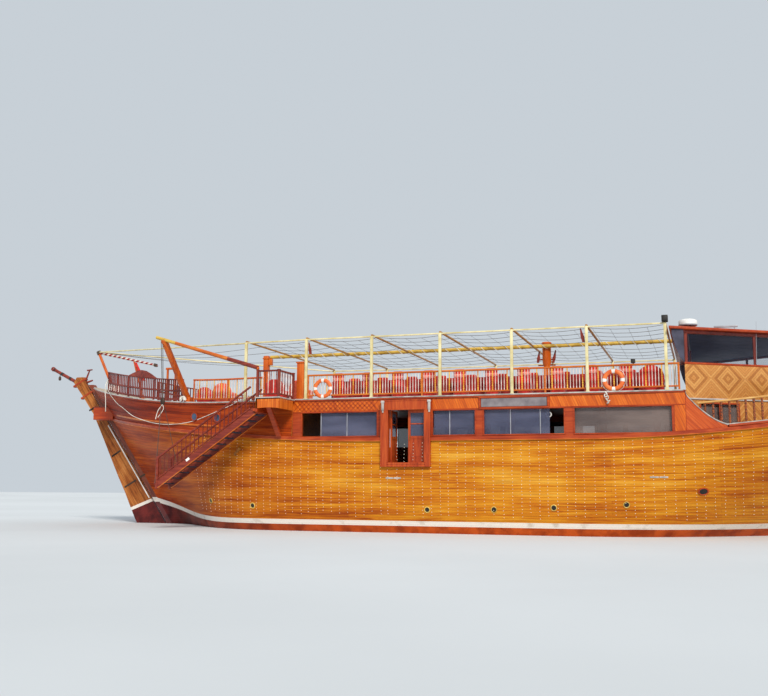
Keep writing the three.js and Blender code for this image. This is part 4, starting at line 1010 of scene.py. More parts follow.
def rail_run(name, line, surface, height, spacing, radius, wood, nodes=(), posts=0, pair=True,
             lit_every=0, pale=False):
    """Handrail on close turned balusters over a lower rail, with square newels. line holds x and y."""
    start, end = line[0][0], line[-1][0]

    def side(x):
        for (x0, y0), (x1, y1) in zip(line, line[1:]):
            if x <= x1 + 1e-6:
                return y0 + (y1 - y0) * (x - x0) / (x1 - x0)
        return line[-1][1]

    xs = spaced(start, end, len(line))
    hand = swept(name, [Vector((x, side(x), surface(x) + height - HANDRAIL[1] / 2)) for x in xs],
                 oblong(*HANDRAIL, 0.55))
    foot = swept(f"{name}_foot", [Vector((x, side(x), surface(x) + FOOT_RAIL)) for x in xs], oblong(0.055, 0.05, 0.3))
    newels = []
    for x in spaced(start + NEWEL_HALF, end - NEWEL_HALF, posts) if posts else []:
        newels.append(stud(x, side(x), NEWEL_HALF, (surface(x), surface(x) + height - HANDRAIL[1] / 2)))
    count = int((end - start) / spacing)
    plain, lit = [], []
    for index, x in enumerate(spaced(start + spacing / 2, end - spacing / 2, count)):
        place = upright(x, side(x), surface(x) + FOOT_RAIL, surface(x) + height - HANDRAIL[1])
        (lit if lit_every and index % lit_every == 2 else plain).append(place)
    turned_ones = repeated(f"{name}_balusters", baluster(radius), plain)
    parts = [hand, foot] if pale else [hand, foot, turned_ones]
    if newels:
        parts.append(blocks(f"{name}_newels", newels, bevel=0.008))
    whole = joined(name, *parts)
    pieces = [(turned_ones, f"{name}_balusters", PALE_TURNED, ())] if pale else []
    if lit:
        wrapped = repeated(f"{name}_lit", wrapped_baluster(), lit)
        pieces.append((wrapped, f"{name}_light_cords", GOLD_LIGHTS, ()))
    pieces.insert(0, (whole, name, wood, nodes))
    for piece, title, material, names in pieces:
        if pair:
            finish_pair(piece, title, material, names)
        else:
            piece.name = piece.data.name = title
            finish(piece, material, replaces=names)


def wrapped_baluster():
    """Baluster wound with a cord of gold lights: a ribbed column of unit height."""
    profile = [(0.026 if k % 2 else 0.015, k / 18) for k in range(19)]
    return turned("wrapped_baluster", profile, 6)


def upper_rails():
    rail_run("upper_rail", [(-4.98, -RAIL_LINE), (7.9, -RAIL_LINE)], deck_height, RAIL_HEIGHT, 0.1, 0.016, ORANGE_WOOD,
             ["upper_rail"], posts=4, lit_every=5, pale=True)
    post = blocks("gate_post", [block((-5.35, -5.07), (-4.74, -4.48), (DECK_TOP, 6.04)),
                                block((-5.38, -5.04), (-4.77, -4.45), (5.98, 6.03))], bevel=0.02, segments=2)
    finish(post, ORANGE_UP)

    def aft_line(start, end, inset):
        return [(x, -(deck_half(x) - inset)) for x in spaced(start, end, 24)]

    starboard = aft_line(-9.93, -6.7, 0.165)
    rail_run("aft_rail_starboard", starboard, deck_height, RAIL_HEIGHT, 0.115, 0.021, ORANGE_UP,
             ["aft_rail_starboard"], posts=3, pair=False, lit_every=3, pale=True)
    port = [(x, -y) for x, y in aft_line(-10.3, -5.1, 0.165)]
    rail_run("aft_rail_port", port, deck_height, RAIL_HEIGHT, 0.115, 0.021, ORANGE_UP,
             ["aft_rail_port"], posts=4, pair=False, lit_every=3, pale=True)


upper_rails()


def poop_line(x):
    """The poop rail's line on the starboard side."""
    return -(deck_half(x) - 0.11)


def poop_rails():
    """Slatted bulwark round the stern: flat slats behind two rails and a low board."""
    line = [Vector((x, poop_line(x), deck_height(x))) for x in spaced(-15.18, -10.42, 40)]

    def lifted(height):
        return [point + Vector((0, 0, height)) for point in line]

    parts = [swept("poop_top", lifted(0.855), oblong(0.08, 0.05, 0.5)),
             swept("poop_middle", lifted(0.42), oblong(0.075, 0.07, 0.4)),
             swept("poop_foot", lifted(0.09), oblong(0.05, 0.08, 0.3))]
    slats = []
    for x in spaced(-15.10, -10.5, 43):
        y = poop_line(x)
        slats.append(block((x - 0.02, x + 0.02), (y - 0.012, y + 0.012),
                           (deck_height(x) + 0.05, deck_height(x) + 0.84)))
    posts = []
    for x in spaced(-15.14, -10.46, 7):
        y = poop_line(x)
        posts.append(stud(x, y, 0.03, (deck_height(x), deck_height(x) + 0.88)))
    parts += [blocks("poop_slats", slats, bevel=0), blocks("poop_posts", posts, bevel=0.006)]
    finish_pair(joined("poop_rail", *parts), "poop_rail", MAROON, ["poop_rail"])


poop_rails()


def fore_rails():
    """Cap plank of the fore bulwark, its handrail and widely spaced turned posts."""
    xs = spaced(9.3, 16.7, 30)
    cap = [Vector((x, -(cap_half(x) - WALL_THICK / 2 + 0.02), cap_height(x) + 0.04)) for x in xs]
    piece = swept("fore_cap", cap, oblong(0.26, 0.07, 0.4))
    finish_pair(piece, "fore_cap_plank", MAHOGANY)
    stations = spaced(8.40, 16.7, 34)

    def middle(x):
        return Vector((x, -(cap_half(x) - WALL_THICK / 2), cap_height(x)))

    hand = swept("fore_rail", [middle(x) + Vector((0, 0, 0.84)) for x in stations], oblong(0.085, 0.065, 0.55))
    finish_pair(hand, "fore_rail", RAIL_GOLD, ["fore_bulwark"])
    wound = turned("wound_post", [(0.042 if k % 2 else 0.026, k / 16) for k in range(17)], 8)
    rise = [upright(x, middle(x).y, max(cap_height(x) + 0.05, wing_top(x)), cap_height(x) + 0.82)
            for x in spaced(8.62, 16.65, 34)]
    finish_pair(repeated("fore_rail_posts", wound, rise), "fore_rail_posts", WOUND_DARK)


def wing_top(x):
    """Height of the wing's edge beside the fore house."""
    return max(3.5, 4.19 - (x - 8.33) * 1.02)


fore_rails()

# Saloon walls


def subtracted(name, box, holes):
    """A board with rectangular holes and eased edges; box and holes are triples of ranges."""
    piece = repeated(name, unit_cube(), [block(*box)])
    subtract(piece, repeated("holes", unit_cube(), [block(*hole) for hole in holes]))
    apply_modifier(piece, "BEVEL", width=0.005, segments=1, limit_method="ANGLE")
    return piece


def frame_bars(x, z, y, width, depth):
    """Four bars round an opening, in the plane y, proud of it by depth."""
    (x0, x1), (z0, z1) = x, z
    out = (y - depth, y + 0.004)
    return [block((x0 - width, x1 + width), out, (z1, z1 + width)),
            block((x0 - width, x1 + width), out, (z0 - width, z0)),
            block((x0 - width, x0), out, (z0, z1)), block((x1, x1 + width), out, (z0, z1))]


FASCIA_LOW, FASCIA_HIGH = 4.215, 4.575
SIGN = {"x": (1.35, 3.74), "z": (4.18, 4.60)}


def saloon_walls():
    face = -WALL_OUTER
    through_wall = (-4.80, -4.50)
    holes = [((a, b), through_wall, (WINDOW_LOW, WINDOW_HIGH)) for a, b in WINDOWS]
    holes.append(((DOOR_FRAME["from"] - HAIR, DOOR_FRAME["to"] + HAIR), through_wall, (3.0, DOOR_FRAME["high"] + HAIR)))
    wall = subtracted("saloon_wall", ((-5.4997, 8.0497), (face, -4.58), (WALE_TOP + HAIR, 4.5895)), holes)
    finish_pair(wall, "saloon_wall", MAHOGANY, ["saloon_wall"])
    fascia = blocks("fascia", [
        block((-5.48, -2.12), (face - 0.012, face + 0.01), (FASCIA_LOW, FASCIA_HIGH)),
        block((-0.27, SIGN["x"][0] - 0.01), (face - 0.012, face + 0.01), (FASCIA_LOW, FASCIA_HIGH)),
        block((SIGN["x"][1] + 0.01, 8.03), (face - 0.012, face + 0.01), (FASCIA_LOW, FASCIA_HIGH)),
        block((7.70, 8.03), (face - 0.012, face + 0.01), (WALE_TOP + 0.02, FASCIA_LOW)),
    ], bevel=0)
    finish_pair(fascia, "fascia_boards", FASCIA)
    trims = []
    for a, b in WINDOWS:
        trims += frame_bars((a, b), (WINDOW_LOW, WINDOW_HIGH), face, 0.045, 0.022)
    for start, end in ((-5.48, -2.12), (-0.27, 8.03)):
        trims.append(block((start, end), (face - 0.03, face), (4.59, 4.625)))
        trims.append(block((start, end), (face - 0.026, face), (FASCIA_LOW - 0.03, FASCIA_LOW)))
    finish_pair(blocks("wall_mouldings", trims, bevel=0.008), "wall_mouldings", MAHOGANY)
    edges = [block((x - 0.014, x + 0.014), (-4.60, -4.57), (WINDOW_LOW, WINDOW_HIGH))
             for x in (-4.43, -3.44, 0.31, 2.41, 3.41)]
    finish_pair(blocks("pane_edges", edges, bevel=0.003), "pane_edges", GELCOAT_GREY)
    posts = [block((x - 0.11, x + 0.11), (-4.56, -4.53), (WINDOW_LOW, WINDOW_HIGH)) for x in (0.31, 2.41, 5.47, 7.13)]
    finish_pair(blocks("window_posts", posts, bevel=0.004), "window_posts", MAROON)


def lattice():
    """Raised strips in diamonds over the fascia aft of the door."""
    x0, x1, z0, z1 = -5.46, -2.14, FASCIA_LOW + 0.01, FASCIA_HIGH - 0.01
    height = z1 - z0
    strips = []
    x = x0
    face = -WALL_OUTER - 0.02
    while x + height < x1:
        strips.append(bar((x, face, z0), (x + height, face, z1), 0.012, 0.022))
        strips.append(bar((x, face, z1), (x + height, face, z0), 0.012, 0.022))
        x += height / 2
    finish_pair(blocks("fascia_lattice", strips, bevel=0), "fascia_lattice", MAHOGANY)


def sign_panel():
    """Blank grey board in a plain wooden frame."""
    (x0, x1), (z0, z1) = SIGN["x"], SIGN["z"]
    board = blocks("sign_board", [block((x0 + 0.09, x1 - 0.09), (-4.735, -4.70), (z0 + 0.07, z1 - 0.07))], bevel=0.004)
    finish_pair(board, "sign_board_blank", SIGN_GREY)
    frame_of = blocks("sign_frame", frame_bars((x0 + 0.07, x1 - 0.07), (z0 + 0.06, z1 - 0.06), -4.70, 0.065, 0.05),
                      bevel=0.01)
    finish_pair(frame_of, "sign_frame", MAHOGANY)


saloon_walls()
lattice()
sign_panel()


def wings():
    """Plank wing that sweeps down from the deck to the bulwark, with its pale edge strip."""
    top = [(8.05, 4.58), (8.09, 4.47), (8.18, 4.36), (8.33, 4.19), (8.50, 4.02), (8.70, 3.85), (8.90, 3.71),
           (9.10, 3.61), (9.27, 3.545)]
    path = rounded_path([(x, 0, z) for x, z in top], per=4)
    rings, edge = [], []
    for point in path:
        x, high = point.x, point.z
        inner, outer, low = -(cap_half(x) - WALL_THICK + 0.02), -(cap_half(x) - 0.03), cap_height(x) + 0.006
        rings.append([Vector((x, outer, low)), Vector((x, inner, low)), Vector((x, inner, high)),
                      Vector((x, outer, high))])
        edge.append(Vector((x, (inner + outer) / 2, high + 0.004)))
    finish_pair(lofted("wing", rings), "wing", WING_BOARDS, ["wing"])
    edge.insert(0, edge[0] + Vector((-0.01, 0, 0.06)))
    edge += [Vector((x, -(cap_half(x) - 0.09), cap_height(x) + 0.085)) for x in spaced(9.5, 16.7, 24)]
    strip = []
    for point in edge:
        strip.append([point + Vector((0, a, b)) for a, b in oblong(0.16, 0.05, 0.7)])
    finish_pair(lofted("wing_edge_strip", strip), "wing_edge_strip", EDGE_GREY)


wings()

# Doors

LEAF_THICK = 0.044
PIVOT_LINE = 4.606


def door_frames():
    x0, x1, z0, z1 = DOORWAY["from"], DOORWAY["to"], DOORWAY["low"], DOORWAY["high"]
    left, right, foot, head = DOOR_FRAME["from"], DOOR_FRAME["to"], DOOR_FRAME["low"], DOOR_FRAME["high"]
    outer = (-4.92, -4.62)
    bars = [block((left, x0), outer, (foot, head)), block((x1, right), outer, (foot, head)),
            block((x0, x1), outer, (z1, head)), block((x0, x1), outer, (foot, z0))]
    bars += [block((x0 - 0.04, x1 + 0.04), (-4.63, -4.58), (2.3503, z0)),
             block((x0 - 0.04, x1 + 0.04), (-4.63, -4.58), (z1, z1 + 0.06))]
    # raised rims round the frame's face
    bars += frame_bars((x0 + 0.02, x1 - 0.02), (z0 + 0.02, z1 - 0.02), -4.92, 0.06, 0.015)
    bars += frame_bars((left + 0.05, right - 0.05), (foot + 0.05, head - 0.05), -4.92, 0.045, 0.015)
    frames = blocks("door_frame", bars, bevel=0.01)
    finish_pair(frames, "door_frame", MAHOGANY_UP, ["door_frame"])


def leaf_parts(hinge, free):
    """Parts of a leaf closed on the port side: its boards, pane and handle, and where its pin stands."""
    sign = 1 if free > hinge else -1
    x0, x1 = sorted((hinge + sign * 0.006, free - sign * 0.005))
    z0, z1 = DOORWAY["low"] + 0.006, DOORWAY["high"] - 0.006
    y = (PIVOT_LINE + 0.006, PIVOT_LINE + 0.006 + LEAF_THICK)
    split = z0 + 0.88
    stile = 0.085
    parts = [block((x0, x0 + stile), y, (z0, z1)), block((x1 - stile, x1), y, (z0, z1)),
             block((x0 + stile, x1 - stile), y, (z0, z0 + 0.14)), block((x0 + stile, x1 - stile), y, (z1 - 0.1, z1)),
             block((x0 + stile, x1 - stile), y, (split - 0.05, split + 0.05)),
             block((x0 + stile, x1 - stile), (y[0] + 0.012, y[1] - 0.012), (z0 + 0.14, split - 0.05)),
             block((x0 + stile + 0.06, x1 - stile - 0.06), (y[0] + 0.004, y[1] - 0.004), (z0 + 0.22, split - 0.13)),
             block((x0 + stile, x1 - stile), y, (z0 + 1.33, z0 + 1.37))]
    pane = [block((x0 + stile - 0.005, x1 - stile + 0.005), (y[0] + 0.018, y[1] - 0.018), (split + 0.045, z1 - 0.095))]
    handle_x = free - sign * 0.07
    handle = [block((handle_x - 0.011, handle_x + 0.011), (y[1] + 0.012, y[1] + 0.026), (3.15, 3.33)),
              block((handle_x - 0.009, handle_x + 0.009), (y[1] - 0.004, y[1] + 0.02), (3.165, 3.185)),
              block((handle_x - 0.009, handle_x + 0.009), (y[1] - 0.004, y[1] + 0.02), (3.295, 3.315))]
    pivot = hinge + sign * 0.016
    return parts, pane, handle, pivot


def doors():
    middle = (DOORWAY["from"] + DOORWAY["to"]) / 2
    flip = Matrix.Diagonal((1, -1, 1, 1))
    for title, hinge, side in (("door_aft_port", DOORWAY["from"], 1), ("door_fore_port", DOORWAY["to"], 1),
                               ("door_fore_starboard", DOORWAY["to"], -1), ("door_aft_starboard", DOORWAY["from"], -1)):
        parts, pane, handle, pivot = leaf_parts(hinge, middle)
        place = Matrix.Identity(4) if side > 0 else flip
        if title == "door_aft_starboard":
            centre = Matrix.Translation((pivot, -PIVOT_LINE, 0))
            place = centre @ Matrix.Rotation(math.pi / 2, 4, "Z") @ centre.inverted() @ flip
        pin = turned("pin", [(0.009, 0), (0.009, 1)], 10)
        stand = place @ Matrix.Translation((pivot, PIVOT_LINE, DOORWAY["low"] + 0.001))
        pin_piece = repeated(f"{title}_pin", pin, [stand @ Matrix.Diagonal((1, 1, 1.837, 1))])
        leaf = joined(title, blocks(f"{title}_boards", [place @ item for item in parts], bevel=0.004), pin_piece)
        close_up(leaf, fill=False)
        finish(leaf, MAHOGANY_UP, body=title, replaces=[title])
        glass = blocks(f"{title}_pane", [place @ item for item in pane], bevel=0)
        close_up(glass, fill=False)
        finish(glass, GLASS, body=title)
        pull = blocks(f"{title}_handle", [place @ item for item in handle], bevel=0.004)
        close_up(pull, fill=False)
        finish(pull, BRONZE, body=title)


door_frames()
doors()

# Net frame over the upper deck


def rod_mesh(name, start, end, radius, end_radius=None, sides=16, rings=1):
    """Round bar between two points, with a map that runs along it in metres."""
    start, end = Vector(start), Vector(end)
    ahead = (end - start).normalized()
    side = (Vector((0, 0, 1)) if abs(ahead.z) < 0.9 else Vector((1, 0, 0))).cross(ahead).normalized()
    up = ahead.cross(side)
    end_radius = radius if end_radius is None else end_radius
    length = (end - start).length
    rows = []
    for i in range(rings + 1):
        share = i / rings
        r = radius + (end_radius - radius) * share
        rows.append([start + ahead * length * share + r * (math.cos(2 * math.pi * k / sides) * side
                                                            + math.sin(2 * math.pi * k / sides) * up)
                     for k in range(sides)])
    return lofted(name, rows, uv=lambda u, v: (u, v * length))


RIDGE_Y = -0.2353


def net_frame():
    line = {x: (-4.52 if x < -7 else -4.70) for x in NET_POSTS}
    bars = []
    half = 0.0475
    for x in NET_POSTS:
        bars.append(stud(x, line[x], half, (deck_height(x), NET_HEIGHT)))
        bars.append(block((x - 0.07, x + 0.07), (line[x] - 0.06, line[x] + 0.06),
                          (deck_height(x), deck_height(x) + 0.03)))
    for a, b in zip(NET_POSTS, NET_POSTS[1:]):
        bars.append(bar((a - (half if a < -7 else 0), line[a], NET_HEIGHT - 0.025),
                        (b + (half if b > 7 else 0), line[b], NET_HEIGHT - 0.025), 0.05, 0.05))
    finish_pair(blocks("net_side", bars, bevel=0.01, segments=2), "net_side", PALE_YELLOW, ["net_side"])
    across = [bar((x, line[x], NET_HEIGHT + 0.03), (x, -line[x], NET_HEIGHT + 0.03), 0.07, 0.059) for x in NET_POSTS]
    beams = blocks("net_beams", across, bevel=0.012, segments=2)
    finish(beams, BEAM_BROWN, replaces=["net_beams"])
    ridge = rod_mesh("ridge_spar", (-8.5, RIDGE_Y, NET_HEIGHT + 0.04), (7.6, RIDGE_Y, NET_HEIGHT + 0.04), 0.07,
                     rings=40)
    finish(ridge, GOLD_YELLOW)
    turns = []
    for i in range(33 * 20 + 1):
        angle = 2 * math.pi * i / 20
        x = -8.3 + 15.7 * i / (33 * 20)
        turns.append((x, RIDGE_Y + 0.079 * math.cos(angle), NET_HEIGHT + 0.04 + 0.079 * math.sin(angle)))
    finish(rope_mesh("ridge_spar_lashing", turns, 0.009, sides=6), ROPE)


net_frame()


def stern_frame():
    foot_z = deck_height(-16.15)
    pole = blocks("stern_pole", [bar((-16.15, 0, foot_z), (-17.09, 0, 7.52), 0.1, 0.1),
                                 block((-16.21, -16.09), (-0.06, 0.06), (foot_z, foot_z + 0.18)),
                                 bar((-14.70, 0, deck_height(-14.7) + 0.02), (-15.23, 0, 7.03), 0.07, 0.07),
                                 block((-14.76, -14.64), (-0.05, 0.05),
                                       (deck_height(-14.7), deck_height(-14.7) + 0.14))],
                  bevel=0.014)
    finish(pole, ORANGE_UP, replaces=["net_aft_frame"])
    stays = [rod_mesh(f"stay_{side}", (-17.07, 0, 7.48), (-7.561, side * 4.515, 6.83), 0.028, sides=10, rings=12)
             for side in (-1, 1)]
    finish(joined("stern_frame_pipes", *stays), PALE_YELLOW)
    spar = rod_mesh("stern_spar", (-17.06, 0, 7.46), (-14.06, 0, 6.78), 0.06, 0.045, rings=40)
    finish(spar, SPIRAL)


SPIRAL = striped_spiral("spar_paint_red_and_white_spiral", "#9c2b23", "#d8cfc4", 4.2)
stern_frame()


def spars():
    heel, tip = Vector((-6.27, -6.055, 5.69)), Vector((-10.88, -5.25, 7.09))
    along = heel - tip
    outer = rod_mesh("davit_spar_outer", tip, tip + along * 0.2, 0.06, 0.063, rings=4)
    finish(outer, GOLD_YELLOW)
    middle = rod_mesh("davit_spar", tip + along * 0.2, tip + along * 0.72, 0.063, 0.071, rings=8)
    finish(middle, ORANGE_WOOD)
    inner = rod_mesh("davit_spar_heel", tip + along * 0.72, heel, 0.071, 0.075, rings=6)
    finish(inner, MAROON_LONG)
    crutch = tip + along * 0.075
    foot = Vector((-10.18, -3.96, deck_height(-10.18)))
    post = blocks("davit_post", [bar(foot + Vector((0, 0, 0.07)), crutch, 0.19, 0.19),
                                 block((-10.31, -10.05), (-4.11, -3.81),
                                       (deck_height(-10.05), deck_height(-10.18) + 0.19)),
                                 block((-6.3, -6.21), (-6.098, -6.012), (5.6203, 5.72))], bevel=0.03, segments=2)
    finish(post, ORANGE_UP, replaces=["davit"])
    x = -8.68
    base = deck_height(x)
    heel_post = blocks("heel_post", [stud(x, RIDGE_Y, 0.11, (base, 6.96)),
                                     stud(x, RIDGE_Y, 0.14, (6.82, 6.87)),
                                     stud(x, RIDGE_Y, 0.135, (base, base + 0.2)),
                                     block((x + 0.09, x + 0.26), (RIDGE_Y - 0.08, RIDGE_Y + 0.08), (6.56, 6.828))],
                       bevel=0.02, segments=2)
    finish(heel_post, ORANGE_UP, replaces=["heel_post"])


spars()


def mast():
    x = 2.96
    profile = [(0.175, 4.67), (0.175, 4.8), (0.155, 4.83), (0.13, 5.4), (0.125, 6.15), (0.165, 6.3), (0.165, 6.93),
               (0.195, 6.99), (0.195, 7.05), (0.17, 7.08)]
    stump = turned("mast_stump", profile, 20)
    stump.data.transform(Matrix.Translation((x, 0, 0)))
    finish(stump, ORANGE_UP, replaces=["mast_stump"])
    pins = [rod_mesh(f"pin_{z}", (x - 0.33, 0, z), (x + 0.33, 0, z), 0.028, sides=10) for z in (6.2, 6.42)]
    finish(joined("belaying_pins", *pins), MAROON_LONG)


mast()

# Fore house and wheelhouse

HOUSE_SLOPE = (4.5 - 1.95) / (12.0 - 8.07)
SILL = 5.51
ROOF_LOW = 6.62


def inset_house(depth, aft=None):
    """Corners of the house's plan, moved in by depth: aft starboard, fore starboard, fore port, aft port."""
    aft_x, fore_x = 8.07 + (depth if aft is None else aft), 12.0 - depth

    def half(x):
        return house_half(x) - depth * math.hypot(1, HOUSE_SLOPE)

    return [(aft_x, -half(aft_x)), (fore_x, -half(fore_x)), (fore_x, half(fore_x)), (aft_x, half(aft_x))]


def ring_walls(name, outer, inner, low, high, gaps=(), bevel=0.004):
    """Walls between two plans of four corners, with gaps cut through them."""
    piece = plan_block(f"{name}_out", outer, low, high)
    subtract(piece, plan_block(f"{name}_in", inner, low - 0.1, high + 0.1),
             *[repeated("gap", unit_cube(), [block(*gap)]) for gap in gaps])
    apply_modifier(piece, "BEVEL", width=bevel, segments=1, limit_method="ANGLE")
    piece.name = piece.data.name = name
    return piece


def plan_block(name, corners, low, high):
    """A block with four upright corners."""
    piece = unit_cube(name)
    order = {(-1, -1): 0, (1, -1): 1, (1, 1): 2, (-1, 1): 3}
    for vertex in piece.data.vertices:
        corner = corners[order[(1 if vertex.co.x > 0 else -1, 1 if vertex.co.y > 0 else -1)]]
        vertex.co = (corner[0], corner[1], high if vertex.co.z > 0 else low)
    return piece


def fore_house():
    gaps = [((7.6, 8.1), (-0.45, 0.45), (3.0, 4.4)), ((11.85, 12.1), (-0.4, 0.4), (3.32, 4.48)),
            ((8.5, 9.65), (-6, 6), (3.56, 4.25))]
    walls = ring_walls("fore_house", inset_house(0, -0.01), inset_house(0.09, 0.09), 2.75, 4.5895, gaps)
    finish(walls, DIAMONDS, replaces=["fore_house"])
    frames = []
    for side in (-1, 1):
        def at(x, z):
            return (x, side * (house_half(x) + 0.012), z)
        for z in (3.54, 4.27):
            frames.append(bar(at(8.46, z), at(9.69, z), 0.05, 0.05))
        for x in (8.48, 9.075, 9.67):
            frames.append(bar(at(x, 3.54), at(x, 4.27), 0.05, 0.05))
    for z in (3.34, 4.5):
        frames.append(block((11.99, 12.03), (-0.46, 0.46), (z - 0.03, z + 0.03)))
    for y in (-0.43, 0.43):
        frames.append(block((11.99, 12.03), (y - 0.03, y + 0.03), (3.32, 4.5)))
    finish(blocks("fore_house_frames", frames, bevel=0.006), MAHOGANY)


def wheelhouse():
    walls = ring_walls("wheelhouse_walls", inset_house(0), inset_house(0.07), DECK_TOP + HAIR, SILL,
                       [((8.0, 8.2), (-0.38, 0.38), (4.6, 5.6))])
    lower = ring_walls("wheelhouse_skirt", inset_house(-0.012, -0.012), inset_house(0.004, 0.004), 4.40, SILL - 0.02,
                       [((8.0, 8.2), (-4.42, 4.42), (4.3, 5.6)), ((11.9, 12.1), (-0.5, 0.5), (4.3, 4.62))])
    finish(lower, DIAMONDS)
    finish(walls, DIAMONDS, replaces=["wheelhouse_walls"])
    posts = []
    for x in (8.115, 10.24, 11.3):
        for side in (-1, 1):
            y = side * (house_half(x) - 0.05)
            posts.append(stud(x, y, 0.045, (SILL, ROOF_LOW)))
    for y in (-1.86, -0.64, 0.64, 1.86):
        posts.append(block((11.905, 11.995), (y - 0.045, y + 0.045), (SILL, ROOF_LOW)))
    for y in (-2.9, -1.6, -0.43, 0.43, 1.6, 2.9):
        posts.append(block((8.072, 8.138), (y - 0.045, y + 0.045), (SILL, ROOF_LOW)))
    posts.append(block((8.15, 8.24), (0.335, 0.395), (ROOF_LOW - 0.11, ROOF_LOW - 0.02)))
    uprights = blocks("wheelhouse_posts", posts, bevel=0.01)
    finish(uprights, MAROON, replaces=["wheelhouse_frame"])
    sill = ring_walls("wheelhouse_sill", inset_house(-0.015), inset_house(0.124), SILL + HAIR, SILL + 0.07,
                      [((8.0, 8.2), (-0.38, 0.38), (5.4, 5.7))], bevel=0.012)
    head = ring_walls("wheelhouse_head", inset_house(-0.01), inset_house(0.124), ROOF_LOW - 0.11, ROOF_LOW - HAIR,
                      bevel=0.012)
    finish(sill, MAHOGANY)
    finish(head, MAROON_LONG)
    # canvas screens: all of the aft wall beside the posts, and a band under the roof; the ceiling's dark lining is
    # partly its dark paint and partly painted shade under the roof
    screens = []
    for y0, y1 in ((-4.36, -2.95), (-2.85, -1.65), (-1.55, -0.48), (0.48, 1.55), (1.65, 2.85), (2.95, 4.36)):
        screens.append(block((8.1, 8.11), (y0, y1), (SILL + 0.07, ROOF_LOW - 0.11)))
    for side in (-1, 1):
        rows = []
        for x, foot in ((7.70, 6.45), (7.80, 6.05), (7.92, 5.72), (8.06, SILL + 0.02)):
            y = side * (4.62 + (8.06 - x) * 0.6)
            rows.append([Vector((x, y, foot)), Vector((x, y + side * 0.006, foot)),
                         Vector((x, y + side * 0.006, ROOF_LOW - 0.002)), Vector((x, y, ROOF_LOW - 0.002))])
        joint = lofted("corner_screen", rows)
        close_up(joint, fill=False)
        finish(joint, CANVAS_AND_CEILING_SHADE)
        joint.name = joint.data.name = f"corner_screen_{'port' if side > 0 else 'starboard'}"
    finish(blocks("aft_screens", screens, bevel=0), CANVAS_AND_CEILING_SHADE)
    # dark ceiling under the roof: partly its dark paint, partly painted shade
    dark_ceiling_and_shade = plan_block("ceiling_dark_paint_and_shade", inset_house(0.13, 0.13), ROOF_LOW - 0.03, ROOF_LOW - HAIR)
    finish(dark_ceiling_and_shade, CANVAS_AND_CEILING_SHADE)
    panes = []
    for start, end in ((8.162, 10.193), (10.287, 11.253), (11.347, 11.93)):
        for side in (-1, 1):
            ends = [(x, side * (house_half(x) - 0.055), (SILL + ROOF_LOW) / 2 - 0.02) for x in (start, end)]
            panes.append(bar(*ends, 0.012, ROOF_LOW - SILL - 0.182))
    for y0, y1 in ((-1.815, -0.685), (-0.595, 0.595), (0.685, 1.815)):
        panes.append(block((11.944, 11.956), (y0, y1), (SILL + 0.071, ROOF_LOW - 0.111)))
    glass = blocks("wheelhouse_panes", panes, bevel=0)
    finish(glass, CLEAR_GLASS, replaces=["wheelhouse_glass"])
    slab = plan_block("wheelhouse_roof", inset_house(-0.17, -0.45), ROOF_LOW, ROOF_LOW + 0.09)
    apply_modifier(slab, "BEVEL", width=0.02, segments=2, limit_method="ANGLE")
    crown = plan_block("crown", inset_house(0.25), ROOF_LOW + 0.08, ROOF_LOW + 0.13)
    apply_modifier(crown, "BEVEL", width=0.015, segments=2, limit_method="ANGLE")
    finish(joined("wheelhouse_roof", slab, crown), MAHOGANY, replaces=["wheelhouse_roof"])
    strip = [Vector((8.1, -(house_half(8.1) + 0.025), 4.40)), Vector((12.0, -(house_half(12.0) + 0.025), 4.40))]
    finish_pair(swept("house_foot_strip", strip, oblong(0.04, 0.05, 0.5)), "house_foot_strip", EDGE_GREY)


def roof_gear():
    base = ROOF_LOW + 0.0903
    profile = [(0.085, 0), (0.085, 0.06), (0.28, 0.07), (0.298, 0.09), (0.3, 0.115), (0.3, 0.2), (0.285, 0.245),
               (0.24, 0.275), (0.15, 0.3), (0.04, 0.31)]
    dome = turned("radar_dome", profile, 32)
    dome.data.transform(Matrix.Translation((8.2, -4.2, base)))
    dome.data.materials.append(GELCOAT)
    dome.data.materials.append(GELCOAT_GREY)
    for polygon in dome.data.polygons:
        polygon.material_index = 1 if polygon.center.z < base + 0.11 else 0
    finish(dome, None, replaces=["radar_dome"])
    shoe = turned("radar_base", [(0.15, 0), (0.15, 0.03), (0.11, 0.05), (0.1, 0.065)], 20)
    shoe.data.transform(Matrix.Translation((8.2, -4.2, base - 0.002)))
    finish(shoe, MAROON_LONG)
    low = base + 0.04
    box = blocks("roof_box", [block((9.8, 10.7), (-1.5, -0.7), (low, low + 0.11)),
                              block((9.9, 10.6), (-1.4, -0.8), (low + 0.1, low + 0.17))], bevel=0.03, segments=3)
    finish(box, GELCOAT, replaces=["roof_box"])
    whip = rod_mesh("whip_aerial", (10.28, -3.1, 5.6), (10.33, -3.1, 7.02), 0.009, 0.004, sides=8)
    finish(whip, GELCOAT_GREY)
    bar_low = base + 0.12
    light_bar = blocks("roof_light_bar", [block((9.0, 9.75), (-3.32, -3.24), (bar_low, bar_low + 0.06))]
                       + [block((x - 0.02, x + 0.02), (-3.3, -3.26), (base - 0.002, bar_low + 0.01))
                          for x in (9.1, 9.65)],
                       bevel=0.01, segments=2)
    finish(light_bar, GELCOAT_GREY)


fore_house()
wheelhouse()
roof_gear()

# Boarding platform, ladder and its tackle

LADDER_TOP, LADDER_FOOT = (-6.4, 4.215), (-10.29, 1.56)
LADDER_INNER, LADDER_OUTER = 4.96, 5.94


def on_slope(share):
    return tuple(a + (b - a) * share for a, b in zip(LADDER_TOP, LADDER_FOOT))


